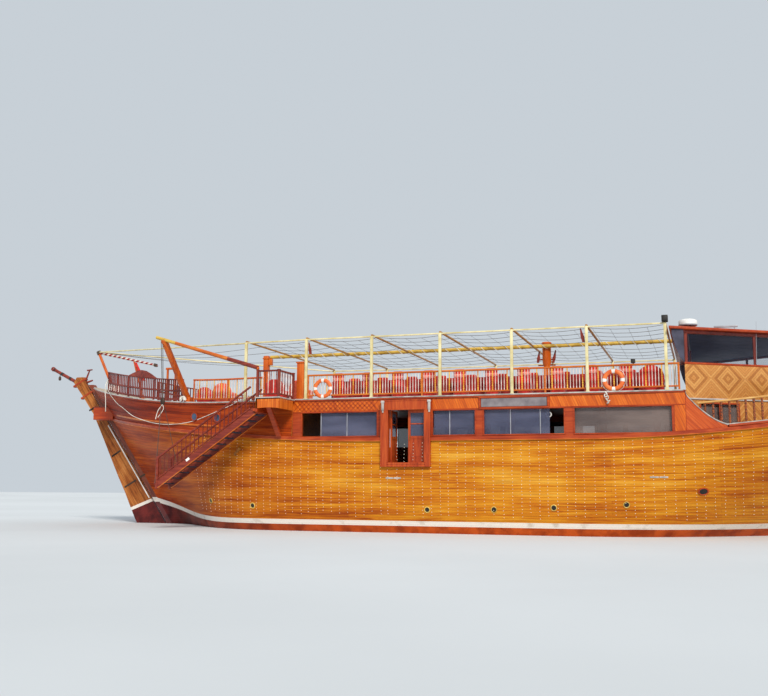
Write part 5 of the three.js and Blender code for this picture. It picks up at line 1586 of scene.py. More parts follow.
def boarding_platform():
    aft, fore, outer, inner, top = -6.3, -5.4, -6.1, -4.78, 4.64
    parts = [block((aft, fore), (outer, -4.775), (top - 0.07, top)),
             block((aft - 0.002, aft + 0.06), (outer, -4.95), (4.13, top - 0.02)),
             block((-6.01, -5.83), (-6.04, -4.8), (4.44, 4.575)),
             bar((-5.92, -4.92, 3.36), (-5.92, -6.0, 4.5), 0.18, 0.09)]
    for y in (-LADDER_OUTER - 0.075, -5.45, -LADDER_INNER + 0.01):
        parts.append(block((LADDER_TOP[0] - 0.045, aft + 0.02), (y, y + 0.06),
                           (LADDER_TOP[1] - 0.05, LADDER_TOP[1] + 0.05)))
    frame_parts = blocks("boarding_platform", parts, bevel=0.006)
    pin = rod_mesh("ladder_bar", (LADDER_TOP[0], -LADDER_OUTER - 0.07, LADDER_TOP[1]),
                   (LADDER_TOP[0], -LADDER_INNER + 0.065, LADDER_TOP[1]), 0.022, sides=16)
    finish(joined("boarding_platform", frame_parts, pin), MAHOGANY, replaces=["boarding_platform"])
    # boards round the outer and fore sides, with a lower edge that arches a little
    rings = []
    for x in spaced(aft, fore, 12):
        low = 4.25 + 0.03 * (1 - ((x - (aft + fore) / 2) / 0.45) ** 2)
        rings.append([Vector((x, outer, low)), Vector((x, outer + 0.06, low)), Vector((x, outer + 0.06, top)),
                      Vector((x, outer, top))])
    fore_board = blocks("fore_board", [block((fore - 0.06, fore), (outer + 0.0605, -4.9), (4.25, top))], bevel=0)
    finish(joined("platform_side_boards", lofted("outer_board", rings), fore_board), UPRIGHT_BOARDS)
    edge = [Vector((aft - 0.01, outer - 0.005, top - 0.01)), Vector((fore + 0.005, outer - 0.005, top - 0.01)),
            Vector((fore + 0.005, -4.79, top - 0.01))]
    finish(swept("platform_edge", edge, oblong(0.04, 0.045, 0.5)), EDGE_GREY)
    wood = []
    for x, y in ((aft + 0.045, outer + 0.045), (fore - 0.045, outer + 0.045), (fore - 0.045, inner - 0.045)):
        wood.append(stud(x, y, 0.045, (top - 0.02, 5.60)))
        wood.append(stud(x, y, 0.053, (5.585, 5.62)))
    for low, high, a, b in ((5.54, 5.6, 0.01, 0.08), (4.73, 4.78, 0.02, 0.07)):
        wood.append(block((aft, fore), (outer + a, outer + b), (low, high)))
        wood.append(block((fore - b, fore - a), (outer + a, inner - 0.01), (low, high)))
    finish(blocks("platform_rail", wood, bevel=0.008), MAROON)
    turned_ones = [upright(x, outer + 0.045, 4.76, 5.56) for x in spaced(aft + 0.14, fore - 0.14, 7)]
    turned_ones += [upright(fore - 0.045, y, 4.76, 5.56) for y in spaced(outer + 0.2, inner - 0.18, 9)]
    finish(repeated("platform_balusters", baluster(0.02), turned_ones[::2]), MAROON)
    finish(repeated("platform_balusters_pale", baluster(0.02), turned_ones[1::2]), PALE_TURNED)


def boarding_ladder():
    sides = ((-LADDER_OUTER, -LADDER_OUTER + 0.055), (-LADDER_INNER - 0.055, -LADDER_INNER))
    parts, edges, balusters, pipes = [], [], [], []
    for y0, y1 in sides:
        y = (y0 + y1) / 2
        start, foot = on_slope(0.012), LADDER_FOOT
        parts.append(bar((start[0], y, start[1]), (foot[0], y, foot[1]), 0.055, 0.23))
        rail_start, rail_end = on_slope(0.05), on_slope(0.985)
        parts.append(bar((rail_start[0], y, rail_start[1] + 0.96), (rail_end[0], y, rail_end[1] + 0.96), 0.065, 0.06))
        parts.append(bar((rail_start[0], y, rail_start[1] + 0.20), (rail_end[0], y, rail_end[1] + 0.20), 0.04, 0.045))
        for share in spaced(0.09, 0.955, 21):
            x, z = on_slope(share)
            balusters.append(upright(x, y, z + 0.19, z + 0.95))
        boss = rod_mesh("boss", (LADDER_TOP[0], y0, LADDER_TOP[1]), (LADDER_TOP[0], y1, LADDER_TOP[1]), 0.06, sides=20)
        hole = rod_mesh("bore", (LADDER_TOP[0], y0 - 0.01, LADDER_TOP[1]), (LADDER_TOP[0], y1 + 0.01, LADDER_TOP[1]),
                        0.023, sides=20)
        subtract(boss, hole)
        pipes.append(boss)
        below = Vector((LADDER_FOOT[0] - LADDER_TOP[0], 0, LADDER_FOOT[1] - LADDER_TOP[1])).normalized()
        down = Vector((below.z, 0, -below.x)) * 0.118
        down = down if down.z < 0 else -down
        edges.append(bar(Vector((start[0], y, start[1])) + down, Vector((foot[0], y, foot[1])) + down, 0.06, 0.022))
    x, z = on_slope(0.985)
    for y in (-LADDER_OUTER + 0.027, -LADDER_INNER - 0.027):
        parts.append(stud(x, y, 0.045, (z - 0.15, z + 1.01)))
        parts.append(stud(x, y, 0.055, (z + 0.97, z + 1.0)))
    boards_of = blocks("ladder_boards", parts, bevel=0.008)
    whole = joined("boarding_ladder", boards_of, *pipes)
    finish(whole, MAROON_LONG, body="ladder", replaces=["boarding_ladder"])
    finish(repeated("ladder_balusters", baluster(0.022), balusters), MAROON, body="ladder")
    treads, nosings = [], []
    for share in spaced(0.05, 0.97, 13):
        x, z = on_slope(share)
        treads.append(block((x - 0.13, x + 0.13), (-LADDER_OUTER + 0.05, -LADDER_INNER - 0.05), (z - 0.02, z + 0.02)))
        nosings.append(block((x - 0.15, x - 0.125), (-LADDER_OUTER + 0.05, -LADDER_INNER - 0.05),
                             (z - 0.03, z + 0.022)))
    finish(blocks("ladder_treads", treads, bevel=0.005), CANVAS_AND_CEILING_SHADE, body="ladder")
    finish(blocks("tread_nosings", nosings, bevel=0.005), ORANGE_UP, body="ladder")
    finish(blocks("stringer_edges", edges, bevel=0.004), ORANGE_WOOD, body="ladder")


boarding_platform()
boarding_ladder()

# Stern


def stern_box():
    x0, x1, y0, y1, low, high = -16.43, -15.45, -1.09, -0.43, 4.37, 4.91

    def beside_hull(piece):
        side = bpy.data.objects["planked_hull"].copy()
        side.data = side.data.copy()
        bpy.context.collection.objects.link(side)
        subtract(piece, side)
        return piece

    piece = repeated("stern_box", unit_cube(), [block((x0, x1), (y0, y1), (low, high))])
    subtract(piece,
             repeated("inside", unit_cube(),
                      [block((x0 + 0.04, x1 - 0.04), (y0 + 0.04, y1 - 0.04), (low + 0.04, high + 0.1))]))
    apply_modifier(piece, "BEVEL", width=0.01, segments=1, limit_method="ANGLE")
    finish(beside_hull(piece), MAHOGANY, replaces=["stern_box"])
    rim = [block((x0 - 0.012, x1 + 0.012), (y0 - 0.012, y0 + 0.045), (high - 0.012, high + 0.02)),
           block((x0 - 0.012, x1 + 0.012), (y1 - 0.045, y1 + 0.012), (high - 0.012, high + 0.02)),
           block((x0 - 0.012, x0 + 0.045), (y0 + 0.05, y1 - 0.05), (high - 0.012, high + 0.02))]
    finish(beside_hull(blocks("stern_box_rim", rim, bevel=0.006)), MAROON_LONG)


stern_box()

# Covered chairs and tables


def soft_ring(half_x, half_y, z, count, wave=0.0, waves=14, power=5.0, phase=0.0):
    """Rounded rectangle in plan, with folds of the given depth."""
    ring = []
    for i in range(count):
        angle = 2 * math.pi * i / count
        c, s = math.cos(angle), math.sin(angle)
        size = (abs(c) ** power + abs(s) ** power) ** (-1 / power)
        fold = 1 + wave * math.sin(waves * angle + phase)
        ring.append(Vector((half_x * c * size * fold, half_y * s * size * fold, z)))
    return ring


# Rows up the cover's back: height, two half widths and how far it leans
CHAIR_BACK = [(0.40, 0.225, 0.05, 0.0), (0.55, 0.222, 0.047, -0.002), (0.66, 0.212, 0.042, -0.004),
              (0.76, 0.196, 0.036, -0.006), (0.84, 0.214, 0.042, -0.004), (0.92, 0.216, 0.044, -0.002),
              (0.965, 0.195, 0.036, 0.0), (0.98, 0.14, 0.018, 0.0)]


def chair_cover():
    """Loose cover of one chair with its skirt to the deck, back towards -Y; origin under the seat's middle."""
    skirt = [soft_ring(0.245, 0.262, 0.004, 56, 0.055, 14), soft_ring(0.24, 0.258, 0.12, 56, 0.042, 14, phase=0.2),
             soft_ring(0.232, 0.252, 0.28, 56, 0.022, 14, phase=0.3), soft_ring(0.226, 0.248, 0.40, 56, 0.007, 14),
             soft_ring(0.22, 0.242, 0.445, 56, 0.0), soft_ring(0.19, 0.215, 0.462, 56, 0.0),
             soft_ring(0.1, 0.12, 0.474, 56, 0.0)]
    seat = lofted("cover_seat", skirt)
    rows = []
    for z, half_x, half_y, lean in CHAIR_BACK:
        rows.append([point + Vector((0, -0.208 + lean, 0))
                     for point in soft_ring(half_x, half_y, z, 32, 0.012, 9, 4.0)])
    back = lofted("cover_back", rows)
    return joined("chair_cover", seat, back)


def sash():
    """Band tied round the chair's back, with a flat bow behind it."""
    rings = []
    for z, grow in ((0.705, 0.006), (0.725, 0.014), (0.79, 0.014), (0.81, 0.006)):
        rings.append([point + Vector((0, -0.213, 0))
                      for point in soft_ring(0.2 + grow, 0.04 + grow, z, 24, 0.0, 9, 4.0)])
    band = lofted("sash_band", rings)
    loops = []
    for side in (-1, 1):
        rows = []
        for share in spaced(0, 1, 6):
            half = 0.016 + 0.05 * math.sin(math.pi * min(1.0, share * 0.9))
            x = side * (0.01 + 0.12 * share)
            rows.append([Vector((x, -0.272 - 0.012 * b, 0.757 - 0.03 * share + half * a)) for a, b in
                         ((-1, 0), (0, -1), (1, 0), (0, 1))])
        loops.append(lofted("bow", rows))
    return joined("sash", band, *loops)


CHAIRS_ALONG = [-4.0 + 1.13 * k for k in range(10)]


def chair_places(side):
    places = []
    for x in CHAIRS_ALONG:
        for y, turn in ((2.512, 0.0), (3.788, math.pi)):
            wander = Matrix.Rotation(draw.uniform(-0.05, 0.05), 4, "Z")
            facing = Matrix.Rotation(turn if side > 0 else math.pi - turn, 4, "Z")
            places.append(Matrix.Translation((x, side * y, DECK_TOP)) @ facing @ wander)
    return places


def table_cloth(side):
    """Long cloth over the tables: flat on top, hanging in soft folds that deepen to the hem."""
    x0, x1, y0, y1, top = -4.48, 6.68, 2.765, 3.535, DECK_TOP + 0.738
    along = []
    for i in range(340):
        along.append((x0 + (x1 - x0) * i / 340, y0, (0, -1)))
    for i in range(26):
        along.append((x1, y0 + (y1 - y0) * i / 26, (1, 0)))
    for i in range(340):
        along.append((x1 - (x1 - x0) * i / 340, y1, (0, 1)))
    for i in range(26):
        along.append((x0, y1 - (y1 - y0) * i / 26, (-1, 0)))
    rings = []
    for z, depth, grow in ((0.035, 0.02, 0.004), (0.2, 0.016, 0.003), (0.45, 0.01, 0.002), (0.65, 0.004, 0.0),
                           (0.725, 0.0, -0.002), (0.738, 0.0, -0.012)):
        ring = []
        for i, (x, y, (out_x, out_y)) in enumerate(along):
            run = i * 0.033
            push = grow - 0.012 + depth * 0.55 * (math.sin(run * 21.0) + 0.4 * math.sin(run * 8.3 + 1.0))
            ring.append(Vector((x + out_x * push, side * (y + out_y * push), DECK_TOP + z)))
        rings.append(ring)
    inner = []
    for x, *_ in along:
        inner.append(Vector((min(max(x, x0 + 0.3), x1 - 0.3), side * (y0 + y1) / 2, top)))
    rings.append(inner)
    piece = lofted(f"table_cloth_{'port' if side > 0 else 'starboard'}", rings, capped=False)
    close_up(piece, merge=0.0002, fill=False)
    return piece


def tables(side):
    parts = []
    for k in range(7):
        x = -4.4 + 1.58 * k
        parts.append(block((x, x + 1.5), (side * 2.79, side * 3.51), (DECK_TOP + 0.70, DECK_TOP + 0.73)))
        for a in (x + 0.1, x + 1.4):
            for b in (2.85, 3.45):
                parts.append(stud(a, side * b, 0.02, (DECK_TOP, DECK_TOP + 0.705)))
    return blocks(f"tables_{'port' if side > 0 else 'starboard'}", parts, bevel=0.003)


def seating():
    for side, name in ((1, "port"), (-1, "starboard")):
        places = chair_places(side)
        covers = repeated(f"chair_covers_{name}", chair_cover(), places)
        finish(covers, RED_CLOTH, replaces=[f"seating_{name}"], angle=60)
        bows = repeated(f"chair_sashes_{name}", sash(), places)
        finish(bows, PINK_CLOTH, angle=60)
        finish(tables(side), TEAK)
        cloth_piece = table_cloth(side)
        apply_modifier(cloth_piece, "SOLIDIFY", thickness=0.002, offset=-1)
        finish(cloth_piece, DEEP_RED_CLOTH, angle=60)
        rows = []
        for x in spaced(-4.3, 6.5, 60):
            y, z = side * 3.15, DECK_TOP + 0.7405 + 0.002 * math.sin(x * 9.0)
            half = 0.17 + 0.006 * math.sin(x * 5.0)
            rows.append([Vector((x, y - half, z)), Vector((x, y + half, z)), Vector((x, y + half, z + 0.003)),
                         Vector((x, y - half, z + 0.003))])
        runner = lofted(f"table_runner_{name}", rows)
        finish(runner, WHITE_CLOTH, angle=60)


seating()


def round_seat(name, x, y, radius, material):
    """Round-backed upholstered seat: a crowned cushion and a rounded back behind it."""
    rows = []
    for share in spaced(0.02, 0.98, 12):
        height = DECK_TOP + 0.02 + 2 * radius * share
        width = radius * math.sqrt(max(0.0, 1 - (2 * share - 1) ** 2)) ** 0.9
        rows.append([Vector((x, y, height)) + point
                     for point in soft_ring(max(width, 0.05), 0.09 * (0.6 + width / radius * 0.6), 0, 32, 0.0, 9, 2.6)])
    back = lofted("back", rows)
    cushion = lofted("cushion", [
        [Vector((x, y + 0.36, DECK_TOP)) + point for point in soft_ring(radius * a, 0.36 * a, z, 40, 0.006, 10, 3.0)]
        for a, z in ((0.9, 0.0), (0.96, 0.05), (0.96, 0.3), (1.0, 0.36), (0.98, 0.43), (0.85, 0.47), (0.45, 0.49))])
    piece = joined(name, back, cushion)
    finish(piece, material, angle=60)


round_seat("round_seat_fore", 6.98, -4.22, 0.43, RED_CLOTH)
round_seat("round_seat_aft", -8.95, -3.60, 0.40, CORAL_CLOTH)
round_seat("round_seat_stern", -9.98, -3.1, 0.36, RED_CLOTH)
round_seat("round_seat_ladder", -6.75, -3.6, 0.44, RED_CLOTH)
round_seat("round_seat_middle", -5.72, -3.7, 0.40, CORAL_CLOTH)
round_seat("round_seat_aft_port", -8.55, 2.9, 0.40, CORAL_CLOTH)
round_seat("round_seat_fore_port", 6.98, 3.5, 0.43, RED_CLOTH)

# Ring buoys


def ring_buoys():
    y = -(RAIL_LINE + 0.026 + 0.05 * math.cos(math.pi / 8) + HAIR)
    for name, x in (("aft", -4.35), ("fore", 5.83)):
        deselect()
        bpy.ops.mesh.primitive_torus_add(major_radius=0.29, minor_radius=0.07, major_segments=72, minor_segments=20,
                                         rotation=(math.pi / 2, 0, 0), location=(x, y, 5.04))
        ring = bpy.context.object
        ring.name = ring.data.name = f"ring_buoy_{name}"
        bpy.ops.object.transform_apply(location=True, rotation=True, scale=True)
        for vertex in ring.data.vertices:
            vertex.co.y = y + (vertex.co.y - y) * 0.05 / 0.07
        ring.data.materials.append(BUOY_ORANGE)
        ring.data.materials.append(BUOY_WHITE)
        for polygon in ring.data.polygons:
            angle = math.degrees(math.atan2(polygon.center.z - 5.04, polygon.center.x - x)) % 90
            polygon.material_index = 1 if angle < 9 or angle > 81 else 0
        finish(ring, None, replaces=[f"lifebuoy_{name}"], angle=60)
        points = []
        for i in range(97):
            angle = 2 * math.pi * i / 96
            reach = 0.372 + 0.022 * abs(math.sin(2 * angle))
            points.append((x + reach * math.cos(angle), y - 0.012, 5.04 + reach * math.sin(angle)))
        line = rope_mesh(f"buoy_line_{name}", points, 0.006, sides=6)
        finish(line, ROPE)


ring_buoys()

# Ports and lights on the hull


def side_frame(x, z):
    """Place on the starboard skin whose local Z points outwards and local Y up."""
    here = Vector((x, side_at(x, z), z))
    ahead = (Vector((x + 0.05, side_at(x + 0.05, z), z)) - Vector((x - 0.05, side_at(x - 0.05, z), z))).normalized()
    rise = (Vector((x, side_at(x, z + 0.05), z + 0.05)) - Vector((x, side_at(x, z - 0.05), z - 0.05))).normalized()
    out = rise.cross(ahead).normalized()
    out = out if out.y > 0 else -out
    rise = out.cross(ahead).normalized()
    rise = rise if rise.z > 0 else -rise
    ahead = rise.cross(out).normalized()
    turn = Matrix((ahead, rise, out)).transposed().to_4x4()
    return Matrix.Diagonal((1, -1, 1, 1)) @ Matrix.Translation(here) @ turn


LOW_PORTS = [(-9.22, 1.02), (-7.07, 0.87), (-0.46, 0.80), (1.84, 0.83), (3.82, 0.91), (6.12, 1.03)]
HIGH_PORTS = [(-9.77, 4.16), (-8.68, 4.08)]


def port_light(name, places, radius, wall, stretch, metal, dark):
    """Rims and panes of round lights at the places on the starboard side, and their like to port."""
    deselect()
    bpy.ops.mesh.primitive_torus_add(major_radius=radius + wall / 2, minor_radius=wall / 2, major_segments=28,
                                     minor_segments=8)
    rim = bpy.context.object
    rim.data.transform(Matrix.Diagonal((*stretch, 1.2, 1)))
    finish_pair(repeated(f"{name}_rims", rim, places), f"{name}_rims", metal)
    pane = turned("pane", [(0.001, -0.012), (radius + 0.006, -0.012), (radius + 0.006, 0.004), (0.001, 0.004)], 28)
    pane.data.transform(Matrix.Diagonal((*stretch, 1, 1)))
    finish_pair(repeated(f"{name}_panes", pane, places), f"{name}_panes", dark)


def hull_ports():
    port_light("side_port", [side_frame(x, z) @ Matrix.Translation((0, 0, 0.03)) for x, z in HIGH_PORTS], 0.125,
               0.045, (1, 1), MAHOGANY, PORT_GLASS)
    # the low ports and the hawse show near-black panes, painted shade of the dark within
    port_light("low_port", [side_frame(x, z) for x, z in LOW_PORTS], 0.075, 0.035, (1, 1), BRASS, DARK_PORT)
    port_light("hawse", [side_frame(8.46, 1.47) @ Matrix.Translation((0, 0, 0.02))], 0.1, 0.04, (1.3, 0.95),
               MAHOGANY, DARK_PORT)


BRASS = painted("port_rims_brass_bright", "#a8842e", "#d9b95c", rough=0.35)
PORT_GLASS = painted("port_glass_over_dark_blue", "#202a42", "#4a5874", rough=0.15, coat=0.1)
# near-black panes: painted shade of the dark inside behind the low ports and in the hawse
DARK_PORT = painted("port_glass_painted_dark_as_shade_within", "#0b0a0a", "#1d1815", rough=0.35)
hull_ports()


def light_strings():
    """Strings of small lamps hung down the side every 0.3 m, a lamp every 0.11 m."""
    bulb = turned("bulb", [(0.001, 0.02), (0.015, 0.004), (0.001, -0.01)], 4)
    places = []
    x = -9.9
    while x < 16.5:
        high = level_height(WALE_LOW_LEVEL, x) - 0.06
        low = boot_lines(x)[1] + 0.12 + draw.uniform(0.0, 0.12)
        z = high - draw.uniform(0, 0.05)
        sway = draw.uniform(-0.02, 0.02)
        while z > low:
            places.append(side_frame(x + sway + draw.uniform(-0.012, 0.012), z))
            z -= 0.115 + draw.uniform(-0.012, 0.012)
        x += 0.3 + draw.uniform(-0.02, 0.02)
    piece = repeated("string_lamps", bulb, places)
    close_up(piece, fill=False)
    finish_pair(piece, "string_lamps", LAMP_WHITE)


LAMP_WHITE = painted("lamp_beads_frosted_plastic", "#e9e0c4", "#fffbe8", rough=0.3)
light_strings()

# Wood, paint and glass of the pieces that keep their form


def repaint(names, material):
    """Another material on pieces that keep their form."""
    for name in names:
        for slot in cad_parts[name].material_slots:
            slot.material = material


def over_boot(material, shader, wood, height, thick):
    """Wood over a white stripe, which starts at height 0, and over dark red antifouling."""
    white, dirt = boot_stripe(material)
    whole = between(material, reckon(material, "GREATER_THAN", height, thick), white, wood)
    whole = between(material, reckon(material, "LESS_THAN", height, 0.0), whole, dark_antifouling(material, dirt))
    feed(material, whole, shader.inputs["Base Color"])


def post_timber():
    """Stem, sternpost and keel: dark red stained timber with the boot stripe across it."""
    material, shader = new_material("hardwood_posts_stained_red_brown", Roughness=0.45, Coat_Weight=0.12)
    x, _, z = parted(material, object_place(material))
    grain = noise(material, object_place(material, (9, 9, 1.6), (0, 0.61, 0)), 1.0, 7.0, 0.65)
    wood = ramp(material, grain, (0.35, "#57200b"), (0.5, "#7e3414"), (0.66, "#9a4a22"))
    # the stripe lies 0.90 m up at the sternpost and 0.36 m up at the stem
    level = reckon(material, "MULTIPLY_ADD", reckon(material, "GREATER_THAN", x, 0.0), 0.54, -0.90)
    over_boot(material, shader, wood, reckon(material, "ADD", z, level), 0.19)
    bumped(material, shader, grain, 0.005)
    return material


def rudder_timber():
    """Three long rudder planks under thin oil: golden brown with dark streaks, the darkest tone painted
    shade, open seams and the stripe.
    """
    material, shader = new_material("teak_rudder_planks_oiled", Roughness=0.55, Coat_Weight=0.02,
                                    Specular_IOR_Level=0.2)
    x, y, z = parted(material, object_place(material))
    # place along the raked hinge line and across it
    along = reckon(material, "ADD", reckon(material, "MULTIPLY", z, 0.817), reckon(material, "MULTIPLY", x, -0.576))
    across = reckon(material, "ADD", reckon(material, "MULTIPLY", z, 0.576), reckon(material, "MULTIPLY", x, 0.817))
    place = add_node(material, "ShaderNodeCombineXYZ", {"X": along, "Y": across, "Z": y}).outputs[0]
    planks = plank_rows(material, place, 30.0, 0.36, 0.009, 0.4, 0.2)
    grain = noise(material, mapped(material, place, (0.9, 12, 6)), 1.0, 8.0, 0.7, 0.5)
    blend = blended(material, 0.35, grain, noise(material, object_place(material), 1.4, 4.0))
    # the darkest stop is painted shade of the rudder's shaded part; the others are the oiled wood's tones
    wood = ramp(material, blend, (0.36, "#5e2a0c"), (0.47, "#93501f"), (0.57, "#b26e34"), (0.7, "#c88c50"))
    wood = between(material, reckon(material, "MULTIPLY", planks["Fac"], 0.75), wood, linear("#3a1c0c"))
    height = reckon(material, "ADD", reckon(material, "MULTIPLY_ADD", x, -0.39, -6.367), z)
    over_boot(material, shader, wood, height, 0.14)
    bumped(material, shader, reckon(material, "SUBTRACT", grain, planks["Fac"]), 0.008, 0.8)
    return material


repaint(["keel_and_posts"], post_timber())
repaint(["rudder"], rudder_timber())
repaint(["tiller"], MAROON_LONG)
repaint(["propeller"], BRONZE)
repaint(["stern_tube"], IRON)
repaint(["helm_stand", "wheelhouse_door"], MAHOGANY_UP)
repaint(["helm_wheel"], TEAK)
repaint(["glass_aft_port", "glass_aft_starboard", "glass_fore_port", "glass_fore_starboard", "fore_house_glass_port",
         "fore_house_glass_starboard"], GLASS)

# Irons of the rudder and its pale batten


def rudder_irons():
    straps, pins = [], []
    for side in (-1, 1):
        y = side * 0.086
        for start, end in (((-16.08, 2.83), (-15.66, 3.085)), ((-15.38, 1.50), (-14.82, 1.81)),
                           ((-17.36, 4.86), (-17.03, 5.02))):
            straps.append(bar((start[0], y, start[1]), (end[0], y, end[1]), 0.014, 0.075))
            for share in (0.15, 0.5, 0.85):
                x, z = [a + (b - a) * share for a, b in zip(start, end)]
                pins.append(bar((x, y, z), (x, y + side * 0.018, z), 0.03, 0.03))
    finish(blocks("rudder_straps", straps + pins, bevel=0.003), IRON, body="rudder")
    finish(blocks("sternpost_strap", [bar((-14.62, side * 0.117, 1.93), (-14.30, side * 0.117, 2.10), 0.014, 0.075)
                                      for side in (-1, 1)], bevel=0.003), IRON)
    batten = []
    for side in (-1, 1):
        foot, head = (HINGE_FOOT + HINGE_RAKE * 1.06 - 0.10, 1.06), (HINGE_FOOT + HINGE_RAKE * 4.2 - 0.10, 4.2)
        batten.append(bar((foot[0], side * 0.087, foot[1]), (head[0], side * 0.087, head[1]), 0.016, 0.05))
    finish(blocks("rudder_batten", batten, bevel=0.004), BUOY_WHITE, body="rudder")
    # collar boards round the head and the pins above it
    bands = []
    for x, z, wide in ((-17.95, 6.12, 0.62), (-17.48, 5.60, 0.70)):
        bands.append(bar((x - wide / 2, 0, z - wide * 0.28), (x + wide / 2, 0, z + wide * 0.28), 0.19, 0.09))
    finish(blocks("rudder_head_bands", bands, bevel=0.012), MAHOGANY, body="rudder")
    pegs = [rod_mesh("peg", (-17.67, 0, 6.25), (-17.49, 0, 6.70), 0.045, 0.03, sides=10),
            rod_mesh("cross_peg", (-17.52, -0.14, 6.66), (-17.47, 0.14, 6.72), 0.035, 0.03, sides=10),
            rod_mesh("peg_low", (-17.60, 0, 6.14), (-17.32, 0, 6.22), 0.05, 0.035, sides=10)]
    finish(joined("tiller_pegs", *pegs), MAROON_LONG, body="rudder")
    rings = []
    for share in (0.30, 0.62, 0.93):
        centre = Vector((-18.06, 0, 6.11)).lerp(Vector((-19.46, 0, 6.81)), share)
        ahead = Vector((-1.4, 0, 0.7)).normalized()
        radius = 0.084 - 0.006 * share
        rings.append(rod_mesh("ring", centre - 0.05 * ahead, centre + 0.05 * ahead, radius, sides=16))
    finish(joined("tiller_bands", *rings), BLACK, body="rudder")
    knob = turned("tiller_knob", [(0.03, -0.10), (0.08, -0.08), (0.105, 0.0), (0.085, 0.07), (0.03, 0.10)], 16)
    along_tiller = Vector((-1.4, 0, 0.7)).to_track_quat("Z", "Y").to_matrix().to_4x4()
    knob.data.transform(Matrix.Translation((-19.43, 0, 6.795)) @ along_tiller)
    finish(knob, MAROON_LONG, body="rudder", angle=60)
    lamp = turned("tiller_lamp",
                  [(0.012, 0.13), (0.012, 0.0), (0.045, -0.02), (0.06, -0.07), (0.06, -0.16), (0.035, -0.19)], 14)
    lamp.data.transform(Matrix.Translation((-19.06, 0, 6.46)))
    finish(lamp, IRON, body="rudder")


rudder_irons()

# Tackle of the boarding ladder


FALL_FOOT = Vector((-10.27, -5.98, 1.66))


def ladder_tackle():
    """Two falls from a block under the spar to the ladder's foot and rail."""
    hung, block_at = Vector((-10.62, -5.30, 6.95)), Vector((-10.48, -5.32, 4.66))
    lines = [rope_mesh("tackle_line", [hung + Vector((a, 0, 0)), block_at + Vector((a * 0.5, 0, 0.1))], 0.012)
             for a in (-0.035, 0.035)]
    finish(joined("tackle_lines", *lines), DARK_ROPE)
    cheeks = turned("tackle_block", [(0.03, 0.15), (0.075, 0.1), (0.095, 0.0), (0.075, -0.1), (0.03, -0.15)], 14)
    cheeks.data.transform(Matrix.Translation(block_at) @ Matrix.Diagonal((1, 0.6, 1, 1)))
    finish(cheeks, IRON)
    strop = [block_at + Vector((0, -0.03, -0.12)), block_at + Vector((-0.14, -0.08, -0.36)),
             block_at + Vector((-0.2, -0.12, -0.66))]
    other = [block_at + Vector((0.02, -0.03, -0.12)), block_at + Vector((0.05, -0.02, -0.3)),
             block_at + Vector((-0.12, -0.1, -0.6))]
    strops = joined("tackle_strops", rope_mesh("strop_a", rounded_path(strop, 4), 0.014),
                    rope_mesh("strop_b", rounded_path(other, 4), 0.012))
    finish(strops, ROPE)
    for name, head, foot in (("ladder_fall_outer", (-0.03, -0.06, -0.16), FALL_FOOT),
                             ("ladder_fall_inner", (0.05, 0.05, -0.16), Vector((-9.90, -4.93, 1.95)))):
        top = block_at + Vector(head)
        fall = rope_mesh(name, [top.lerp(foot, share) for share in spaced(0, 1, 12)], 0.012)
        finish(fall, DARK_ROPE)
        shorten(fall)
    shorten(strops)


def shorten(piece):
    """Gives a piece hung from the top, with its foot made fast to the ladder, a mesh of its own."""
    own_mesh(piece)


ladder_tackle()


# Lamps and paddles under the net frame: x, y, head, foot and how far they lean
HANGING = [(4.80, -4.64, 6.80, 6.33, 0.10), (-4.93, -4.64, 6.74, 6.30, 0.07), (3.30, 0.0, 6.77, 6.28, -0.10),
           (2.68, 0.0, 6.75, 6.30, -0.06)]


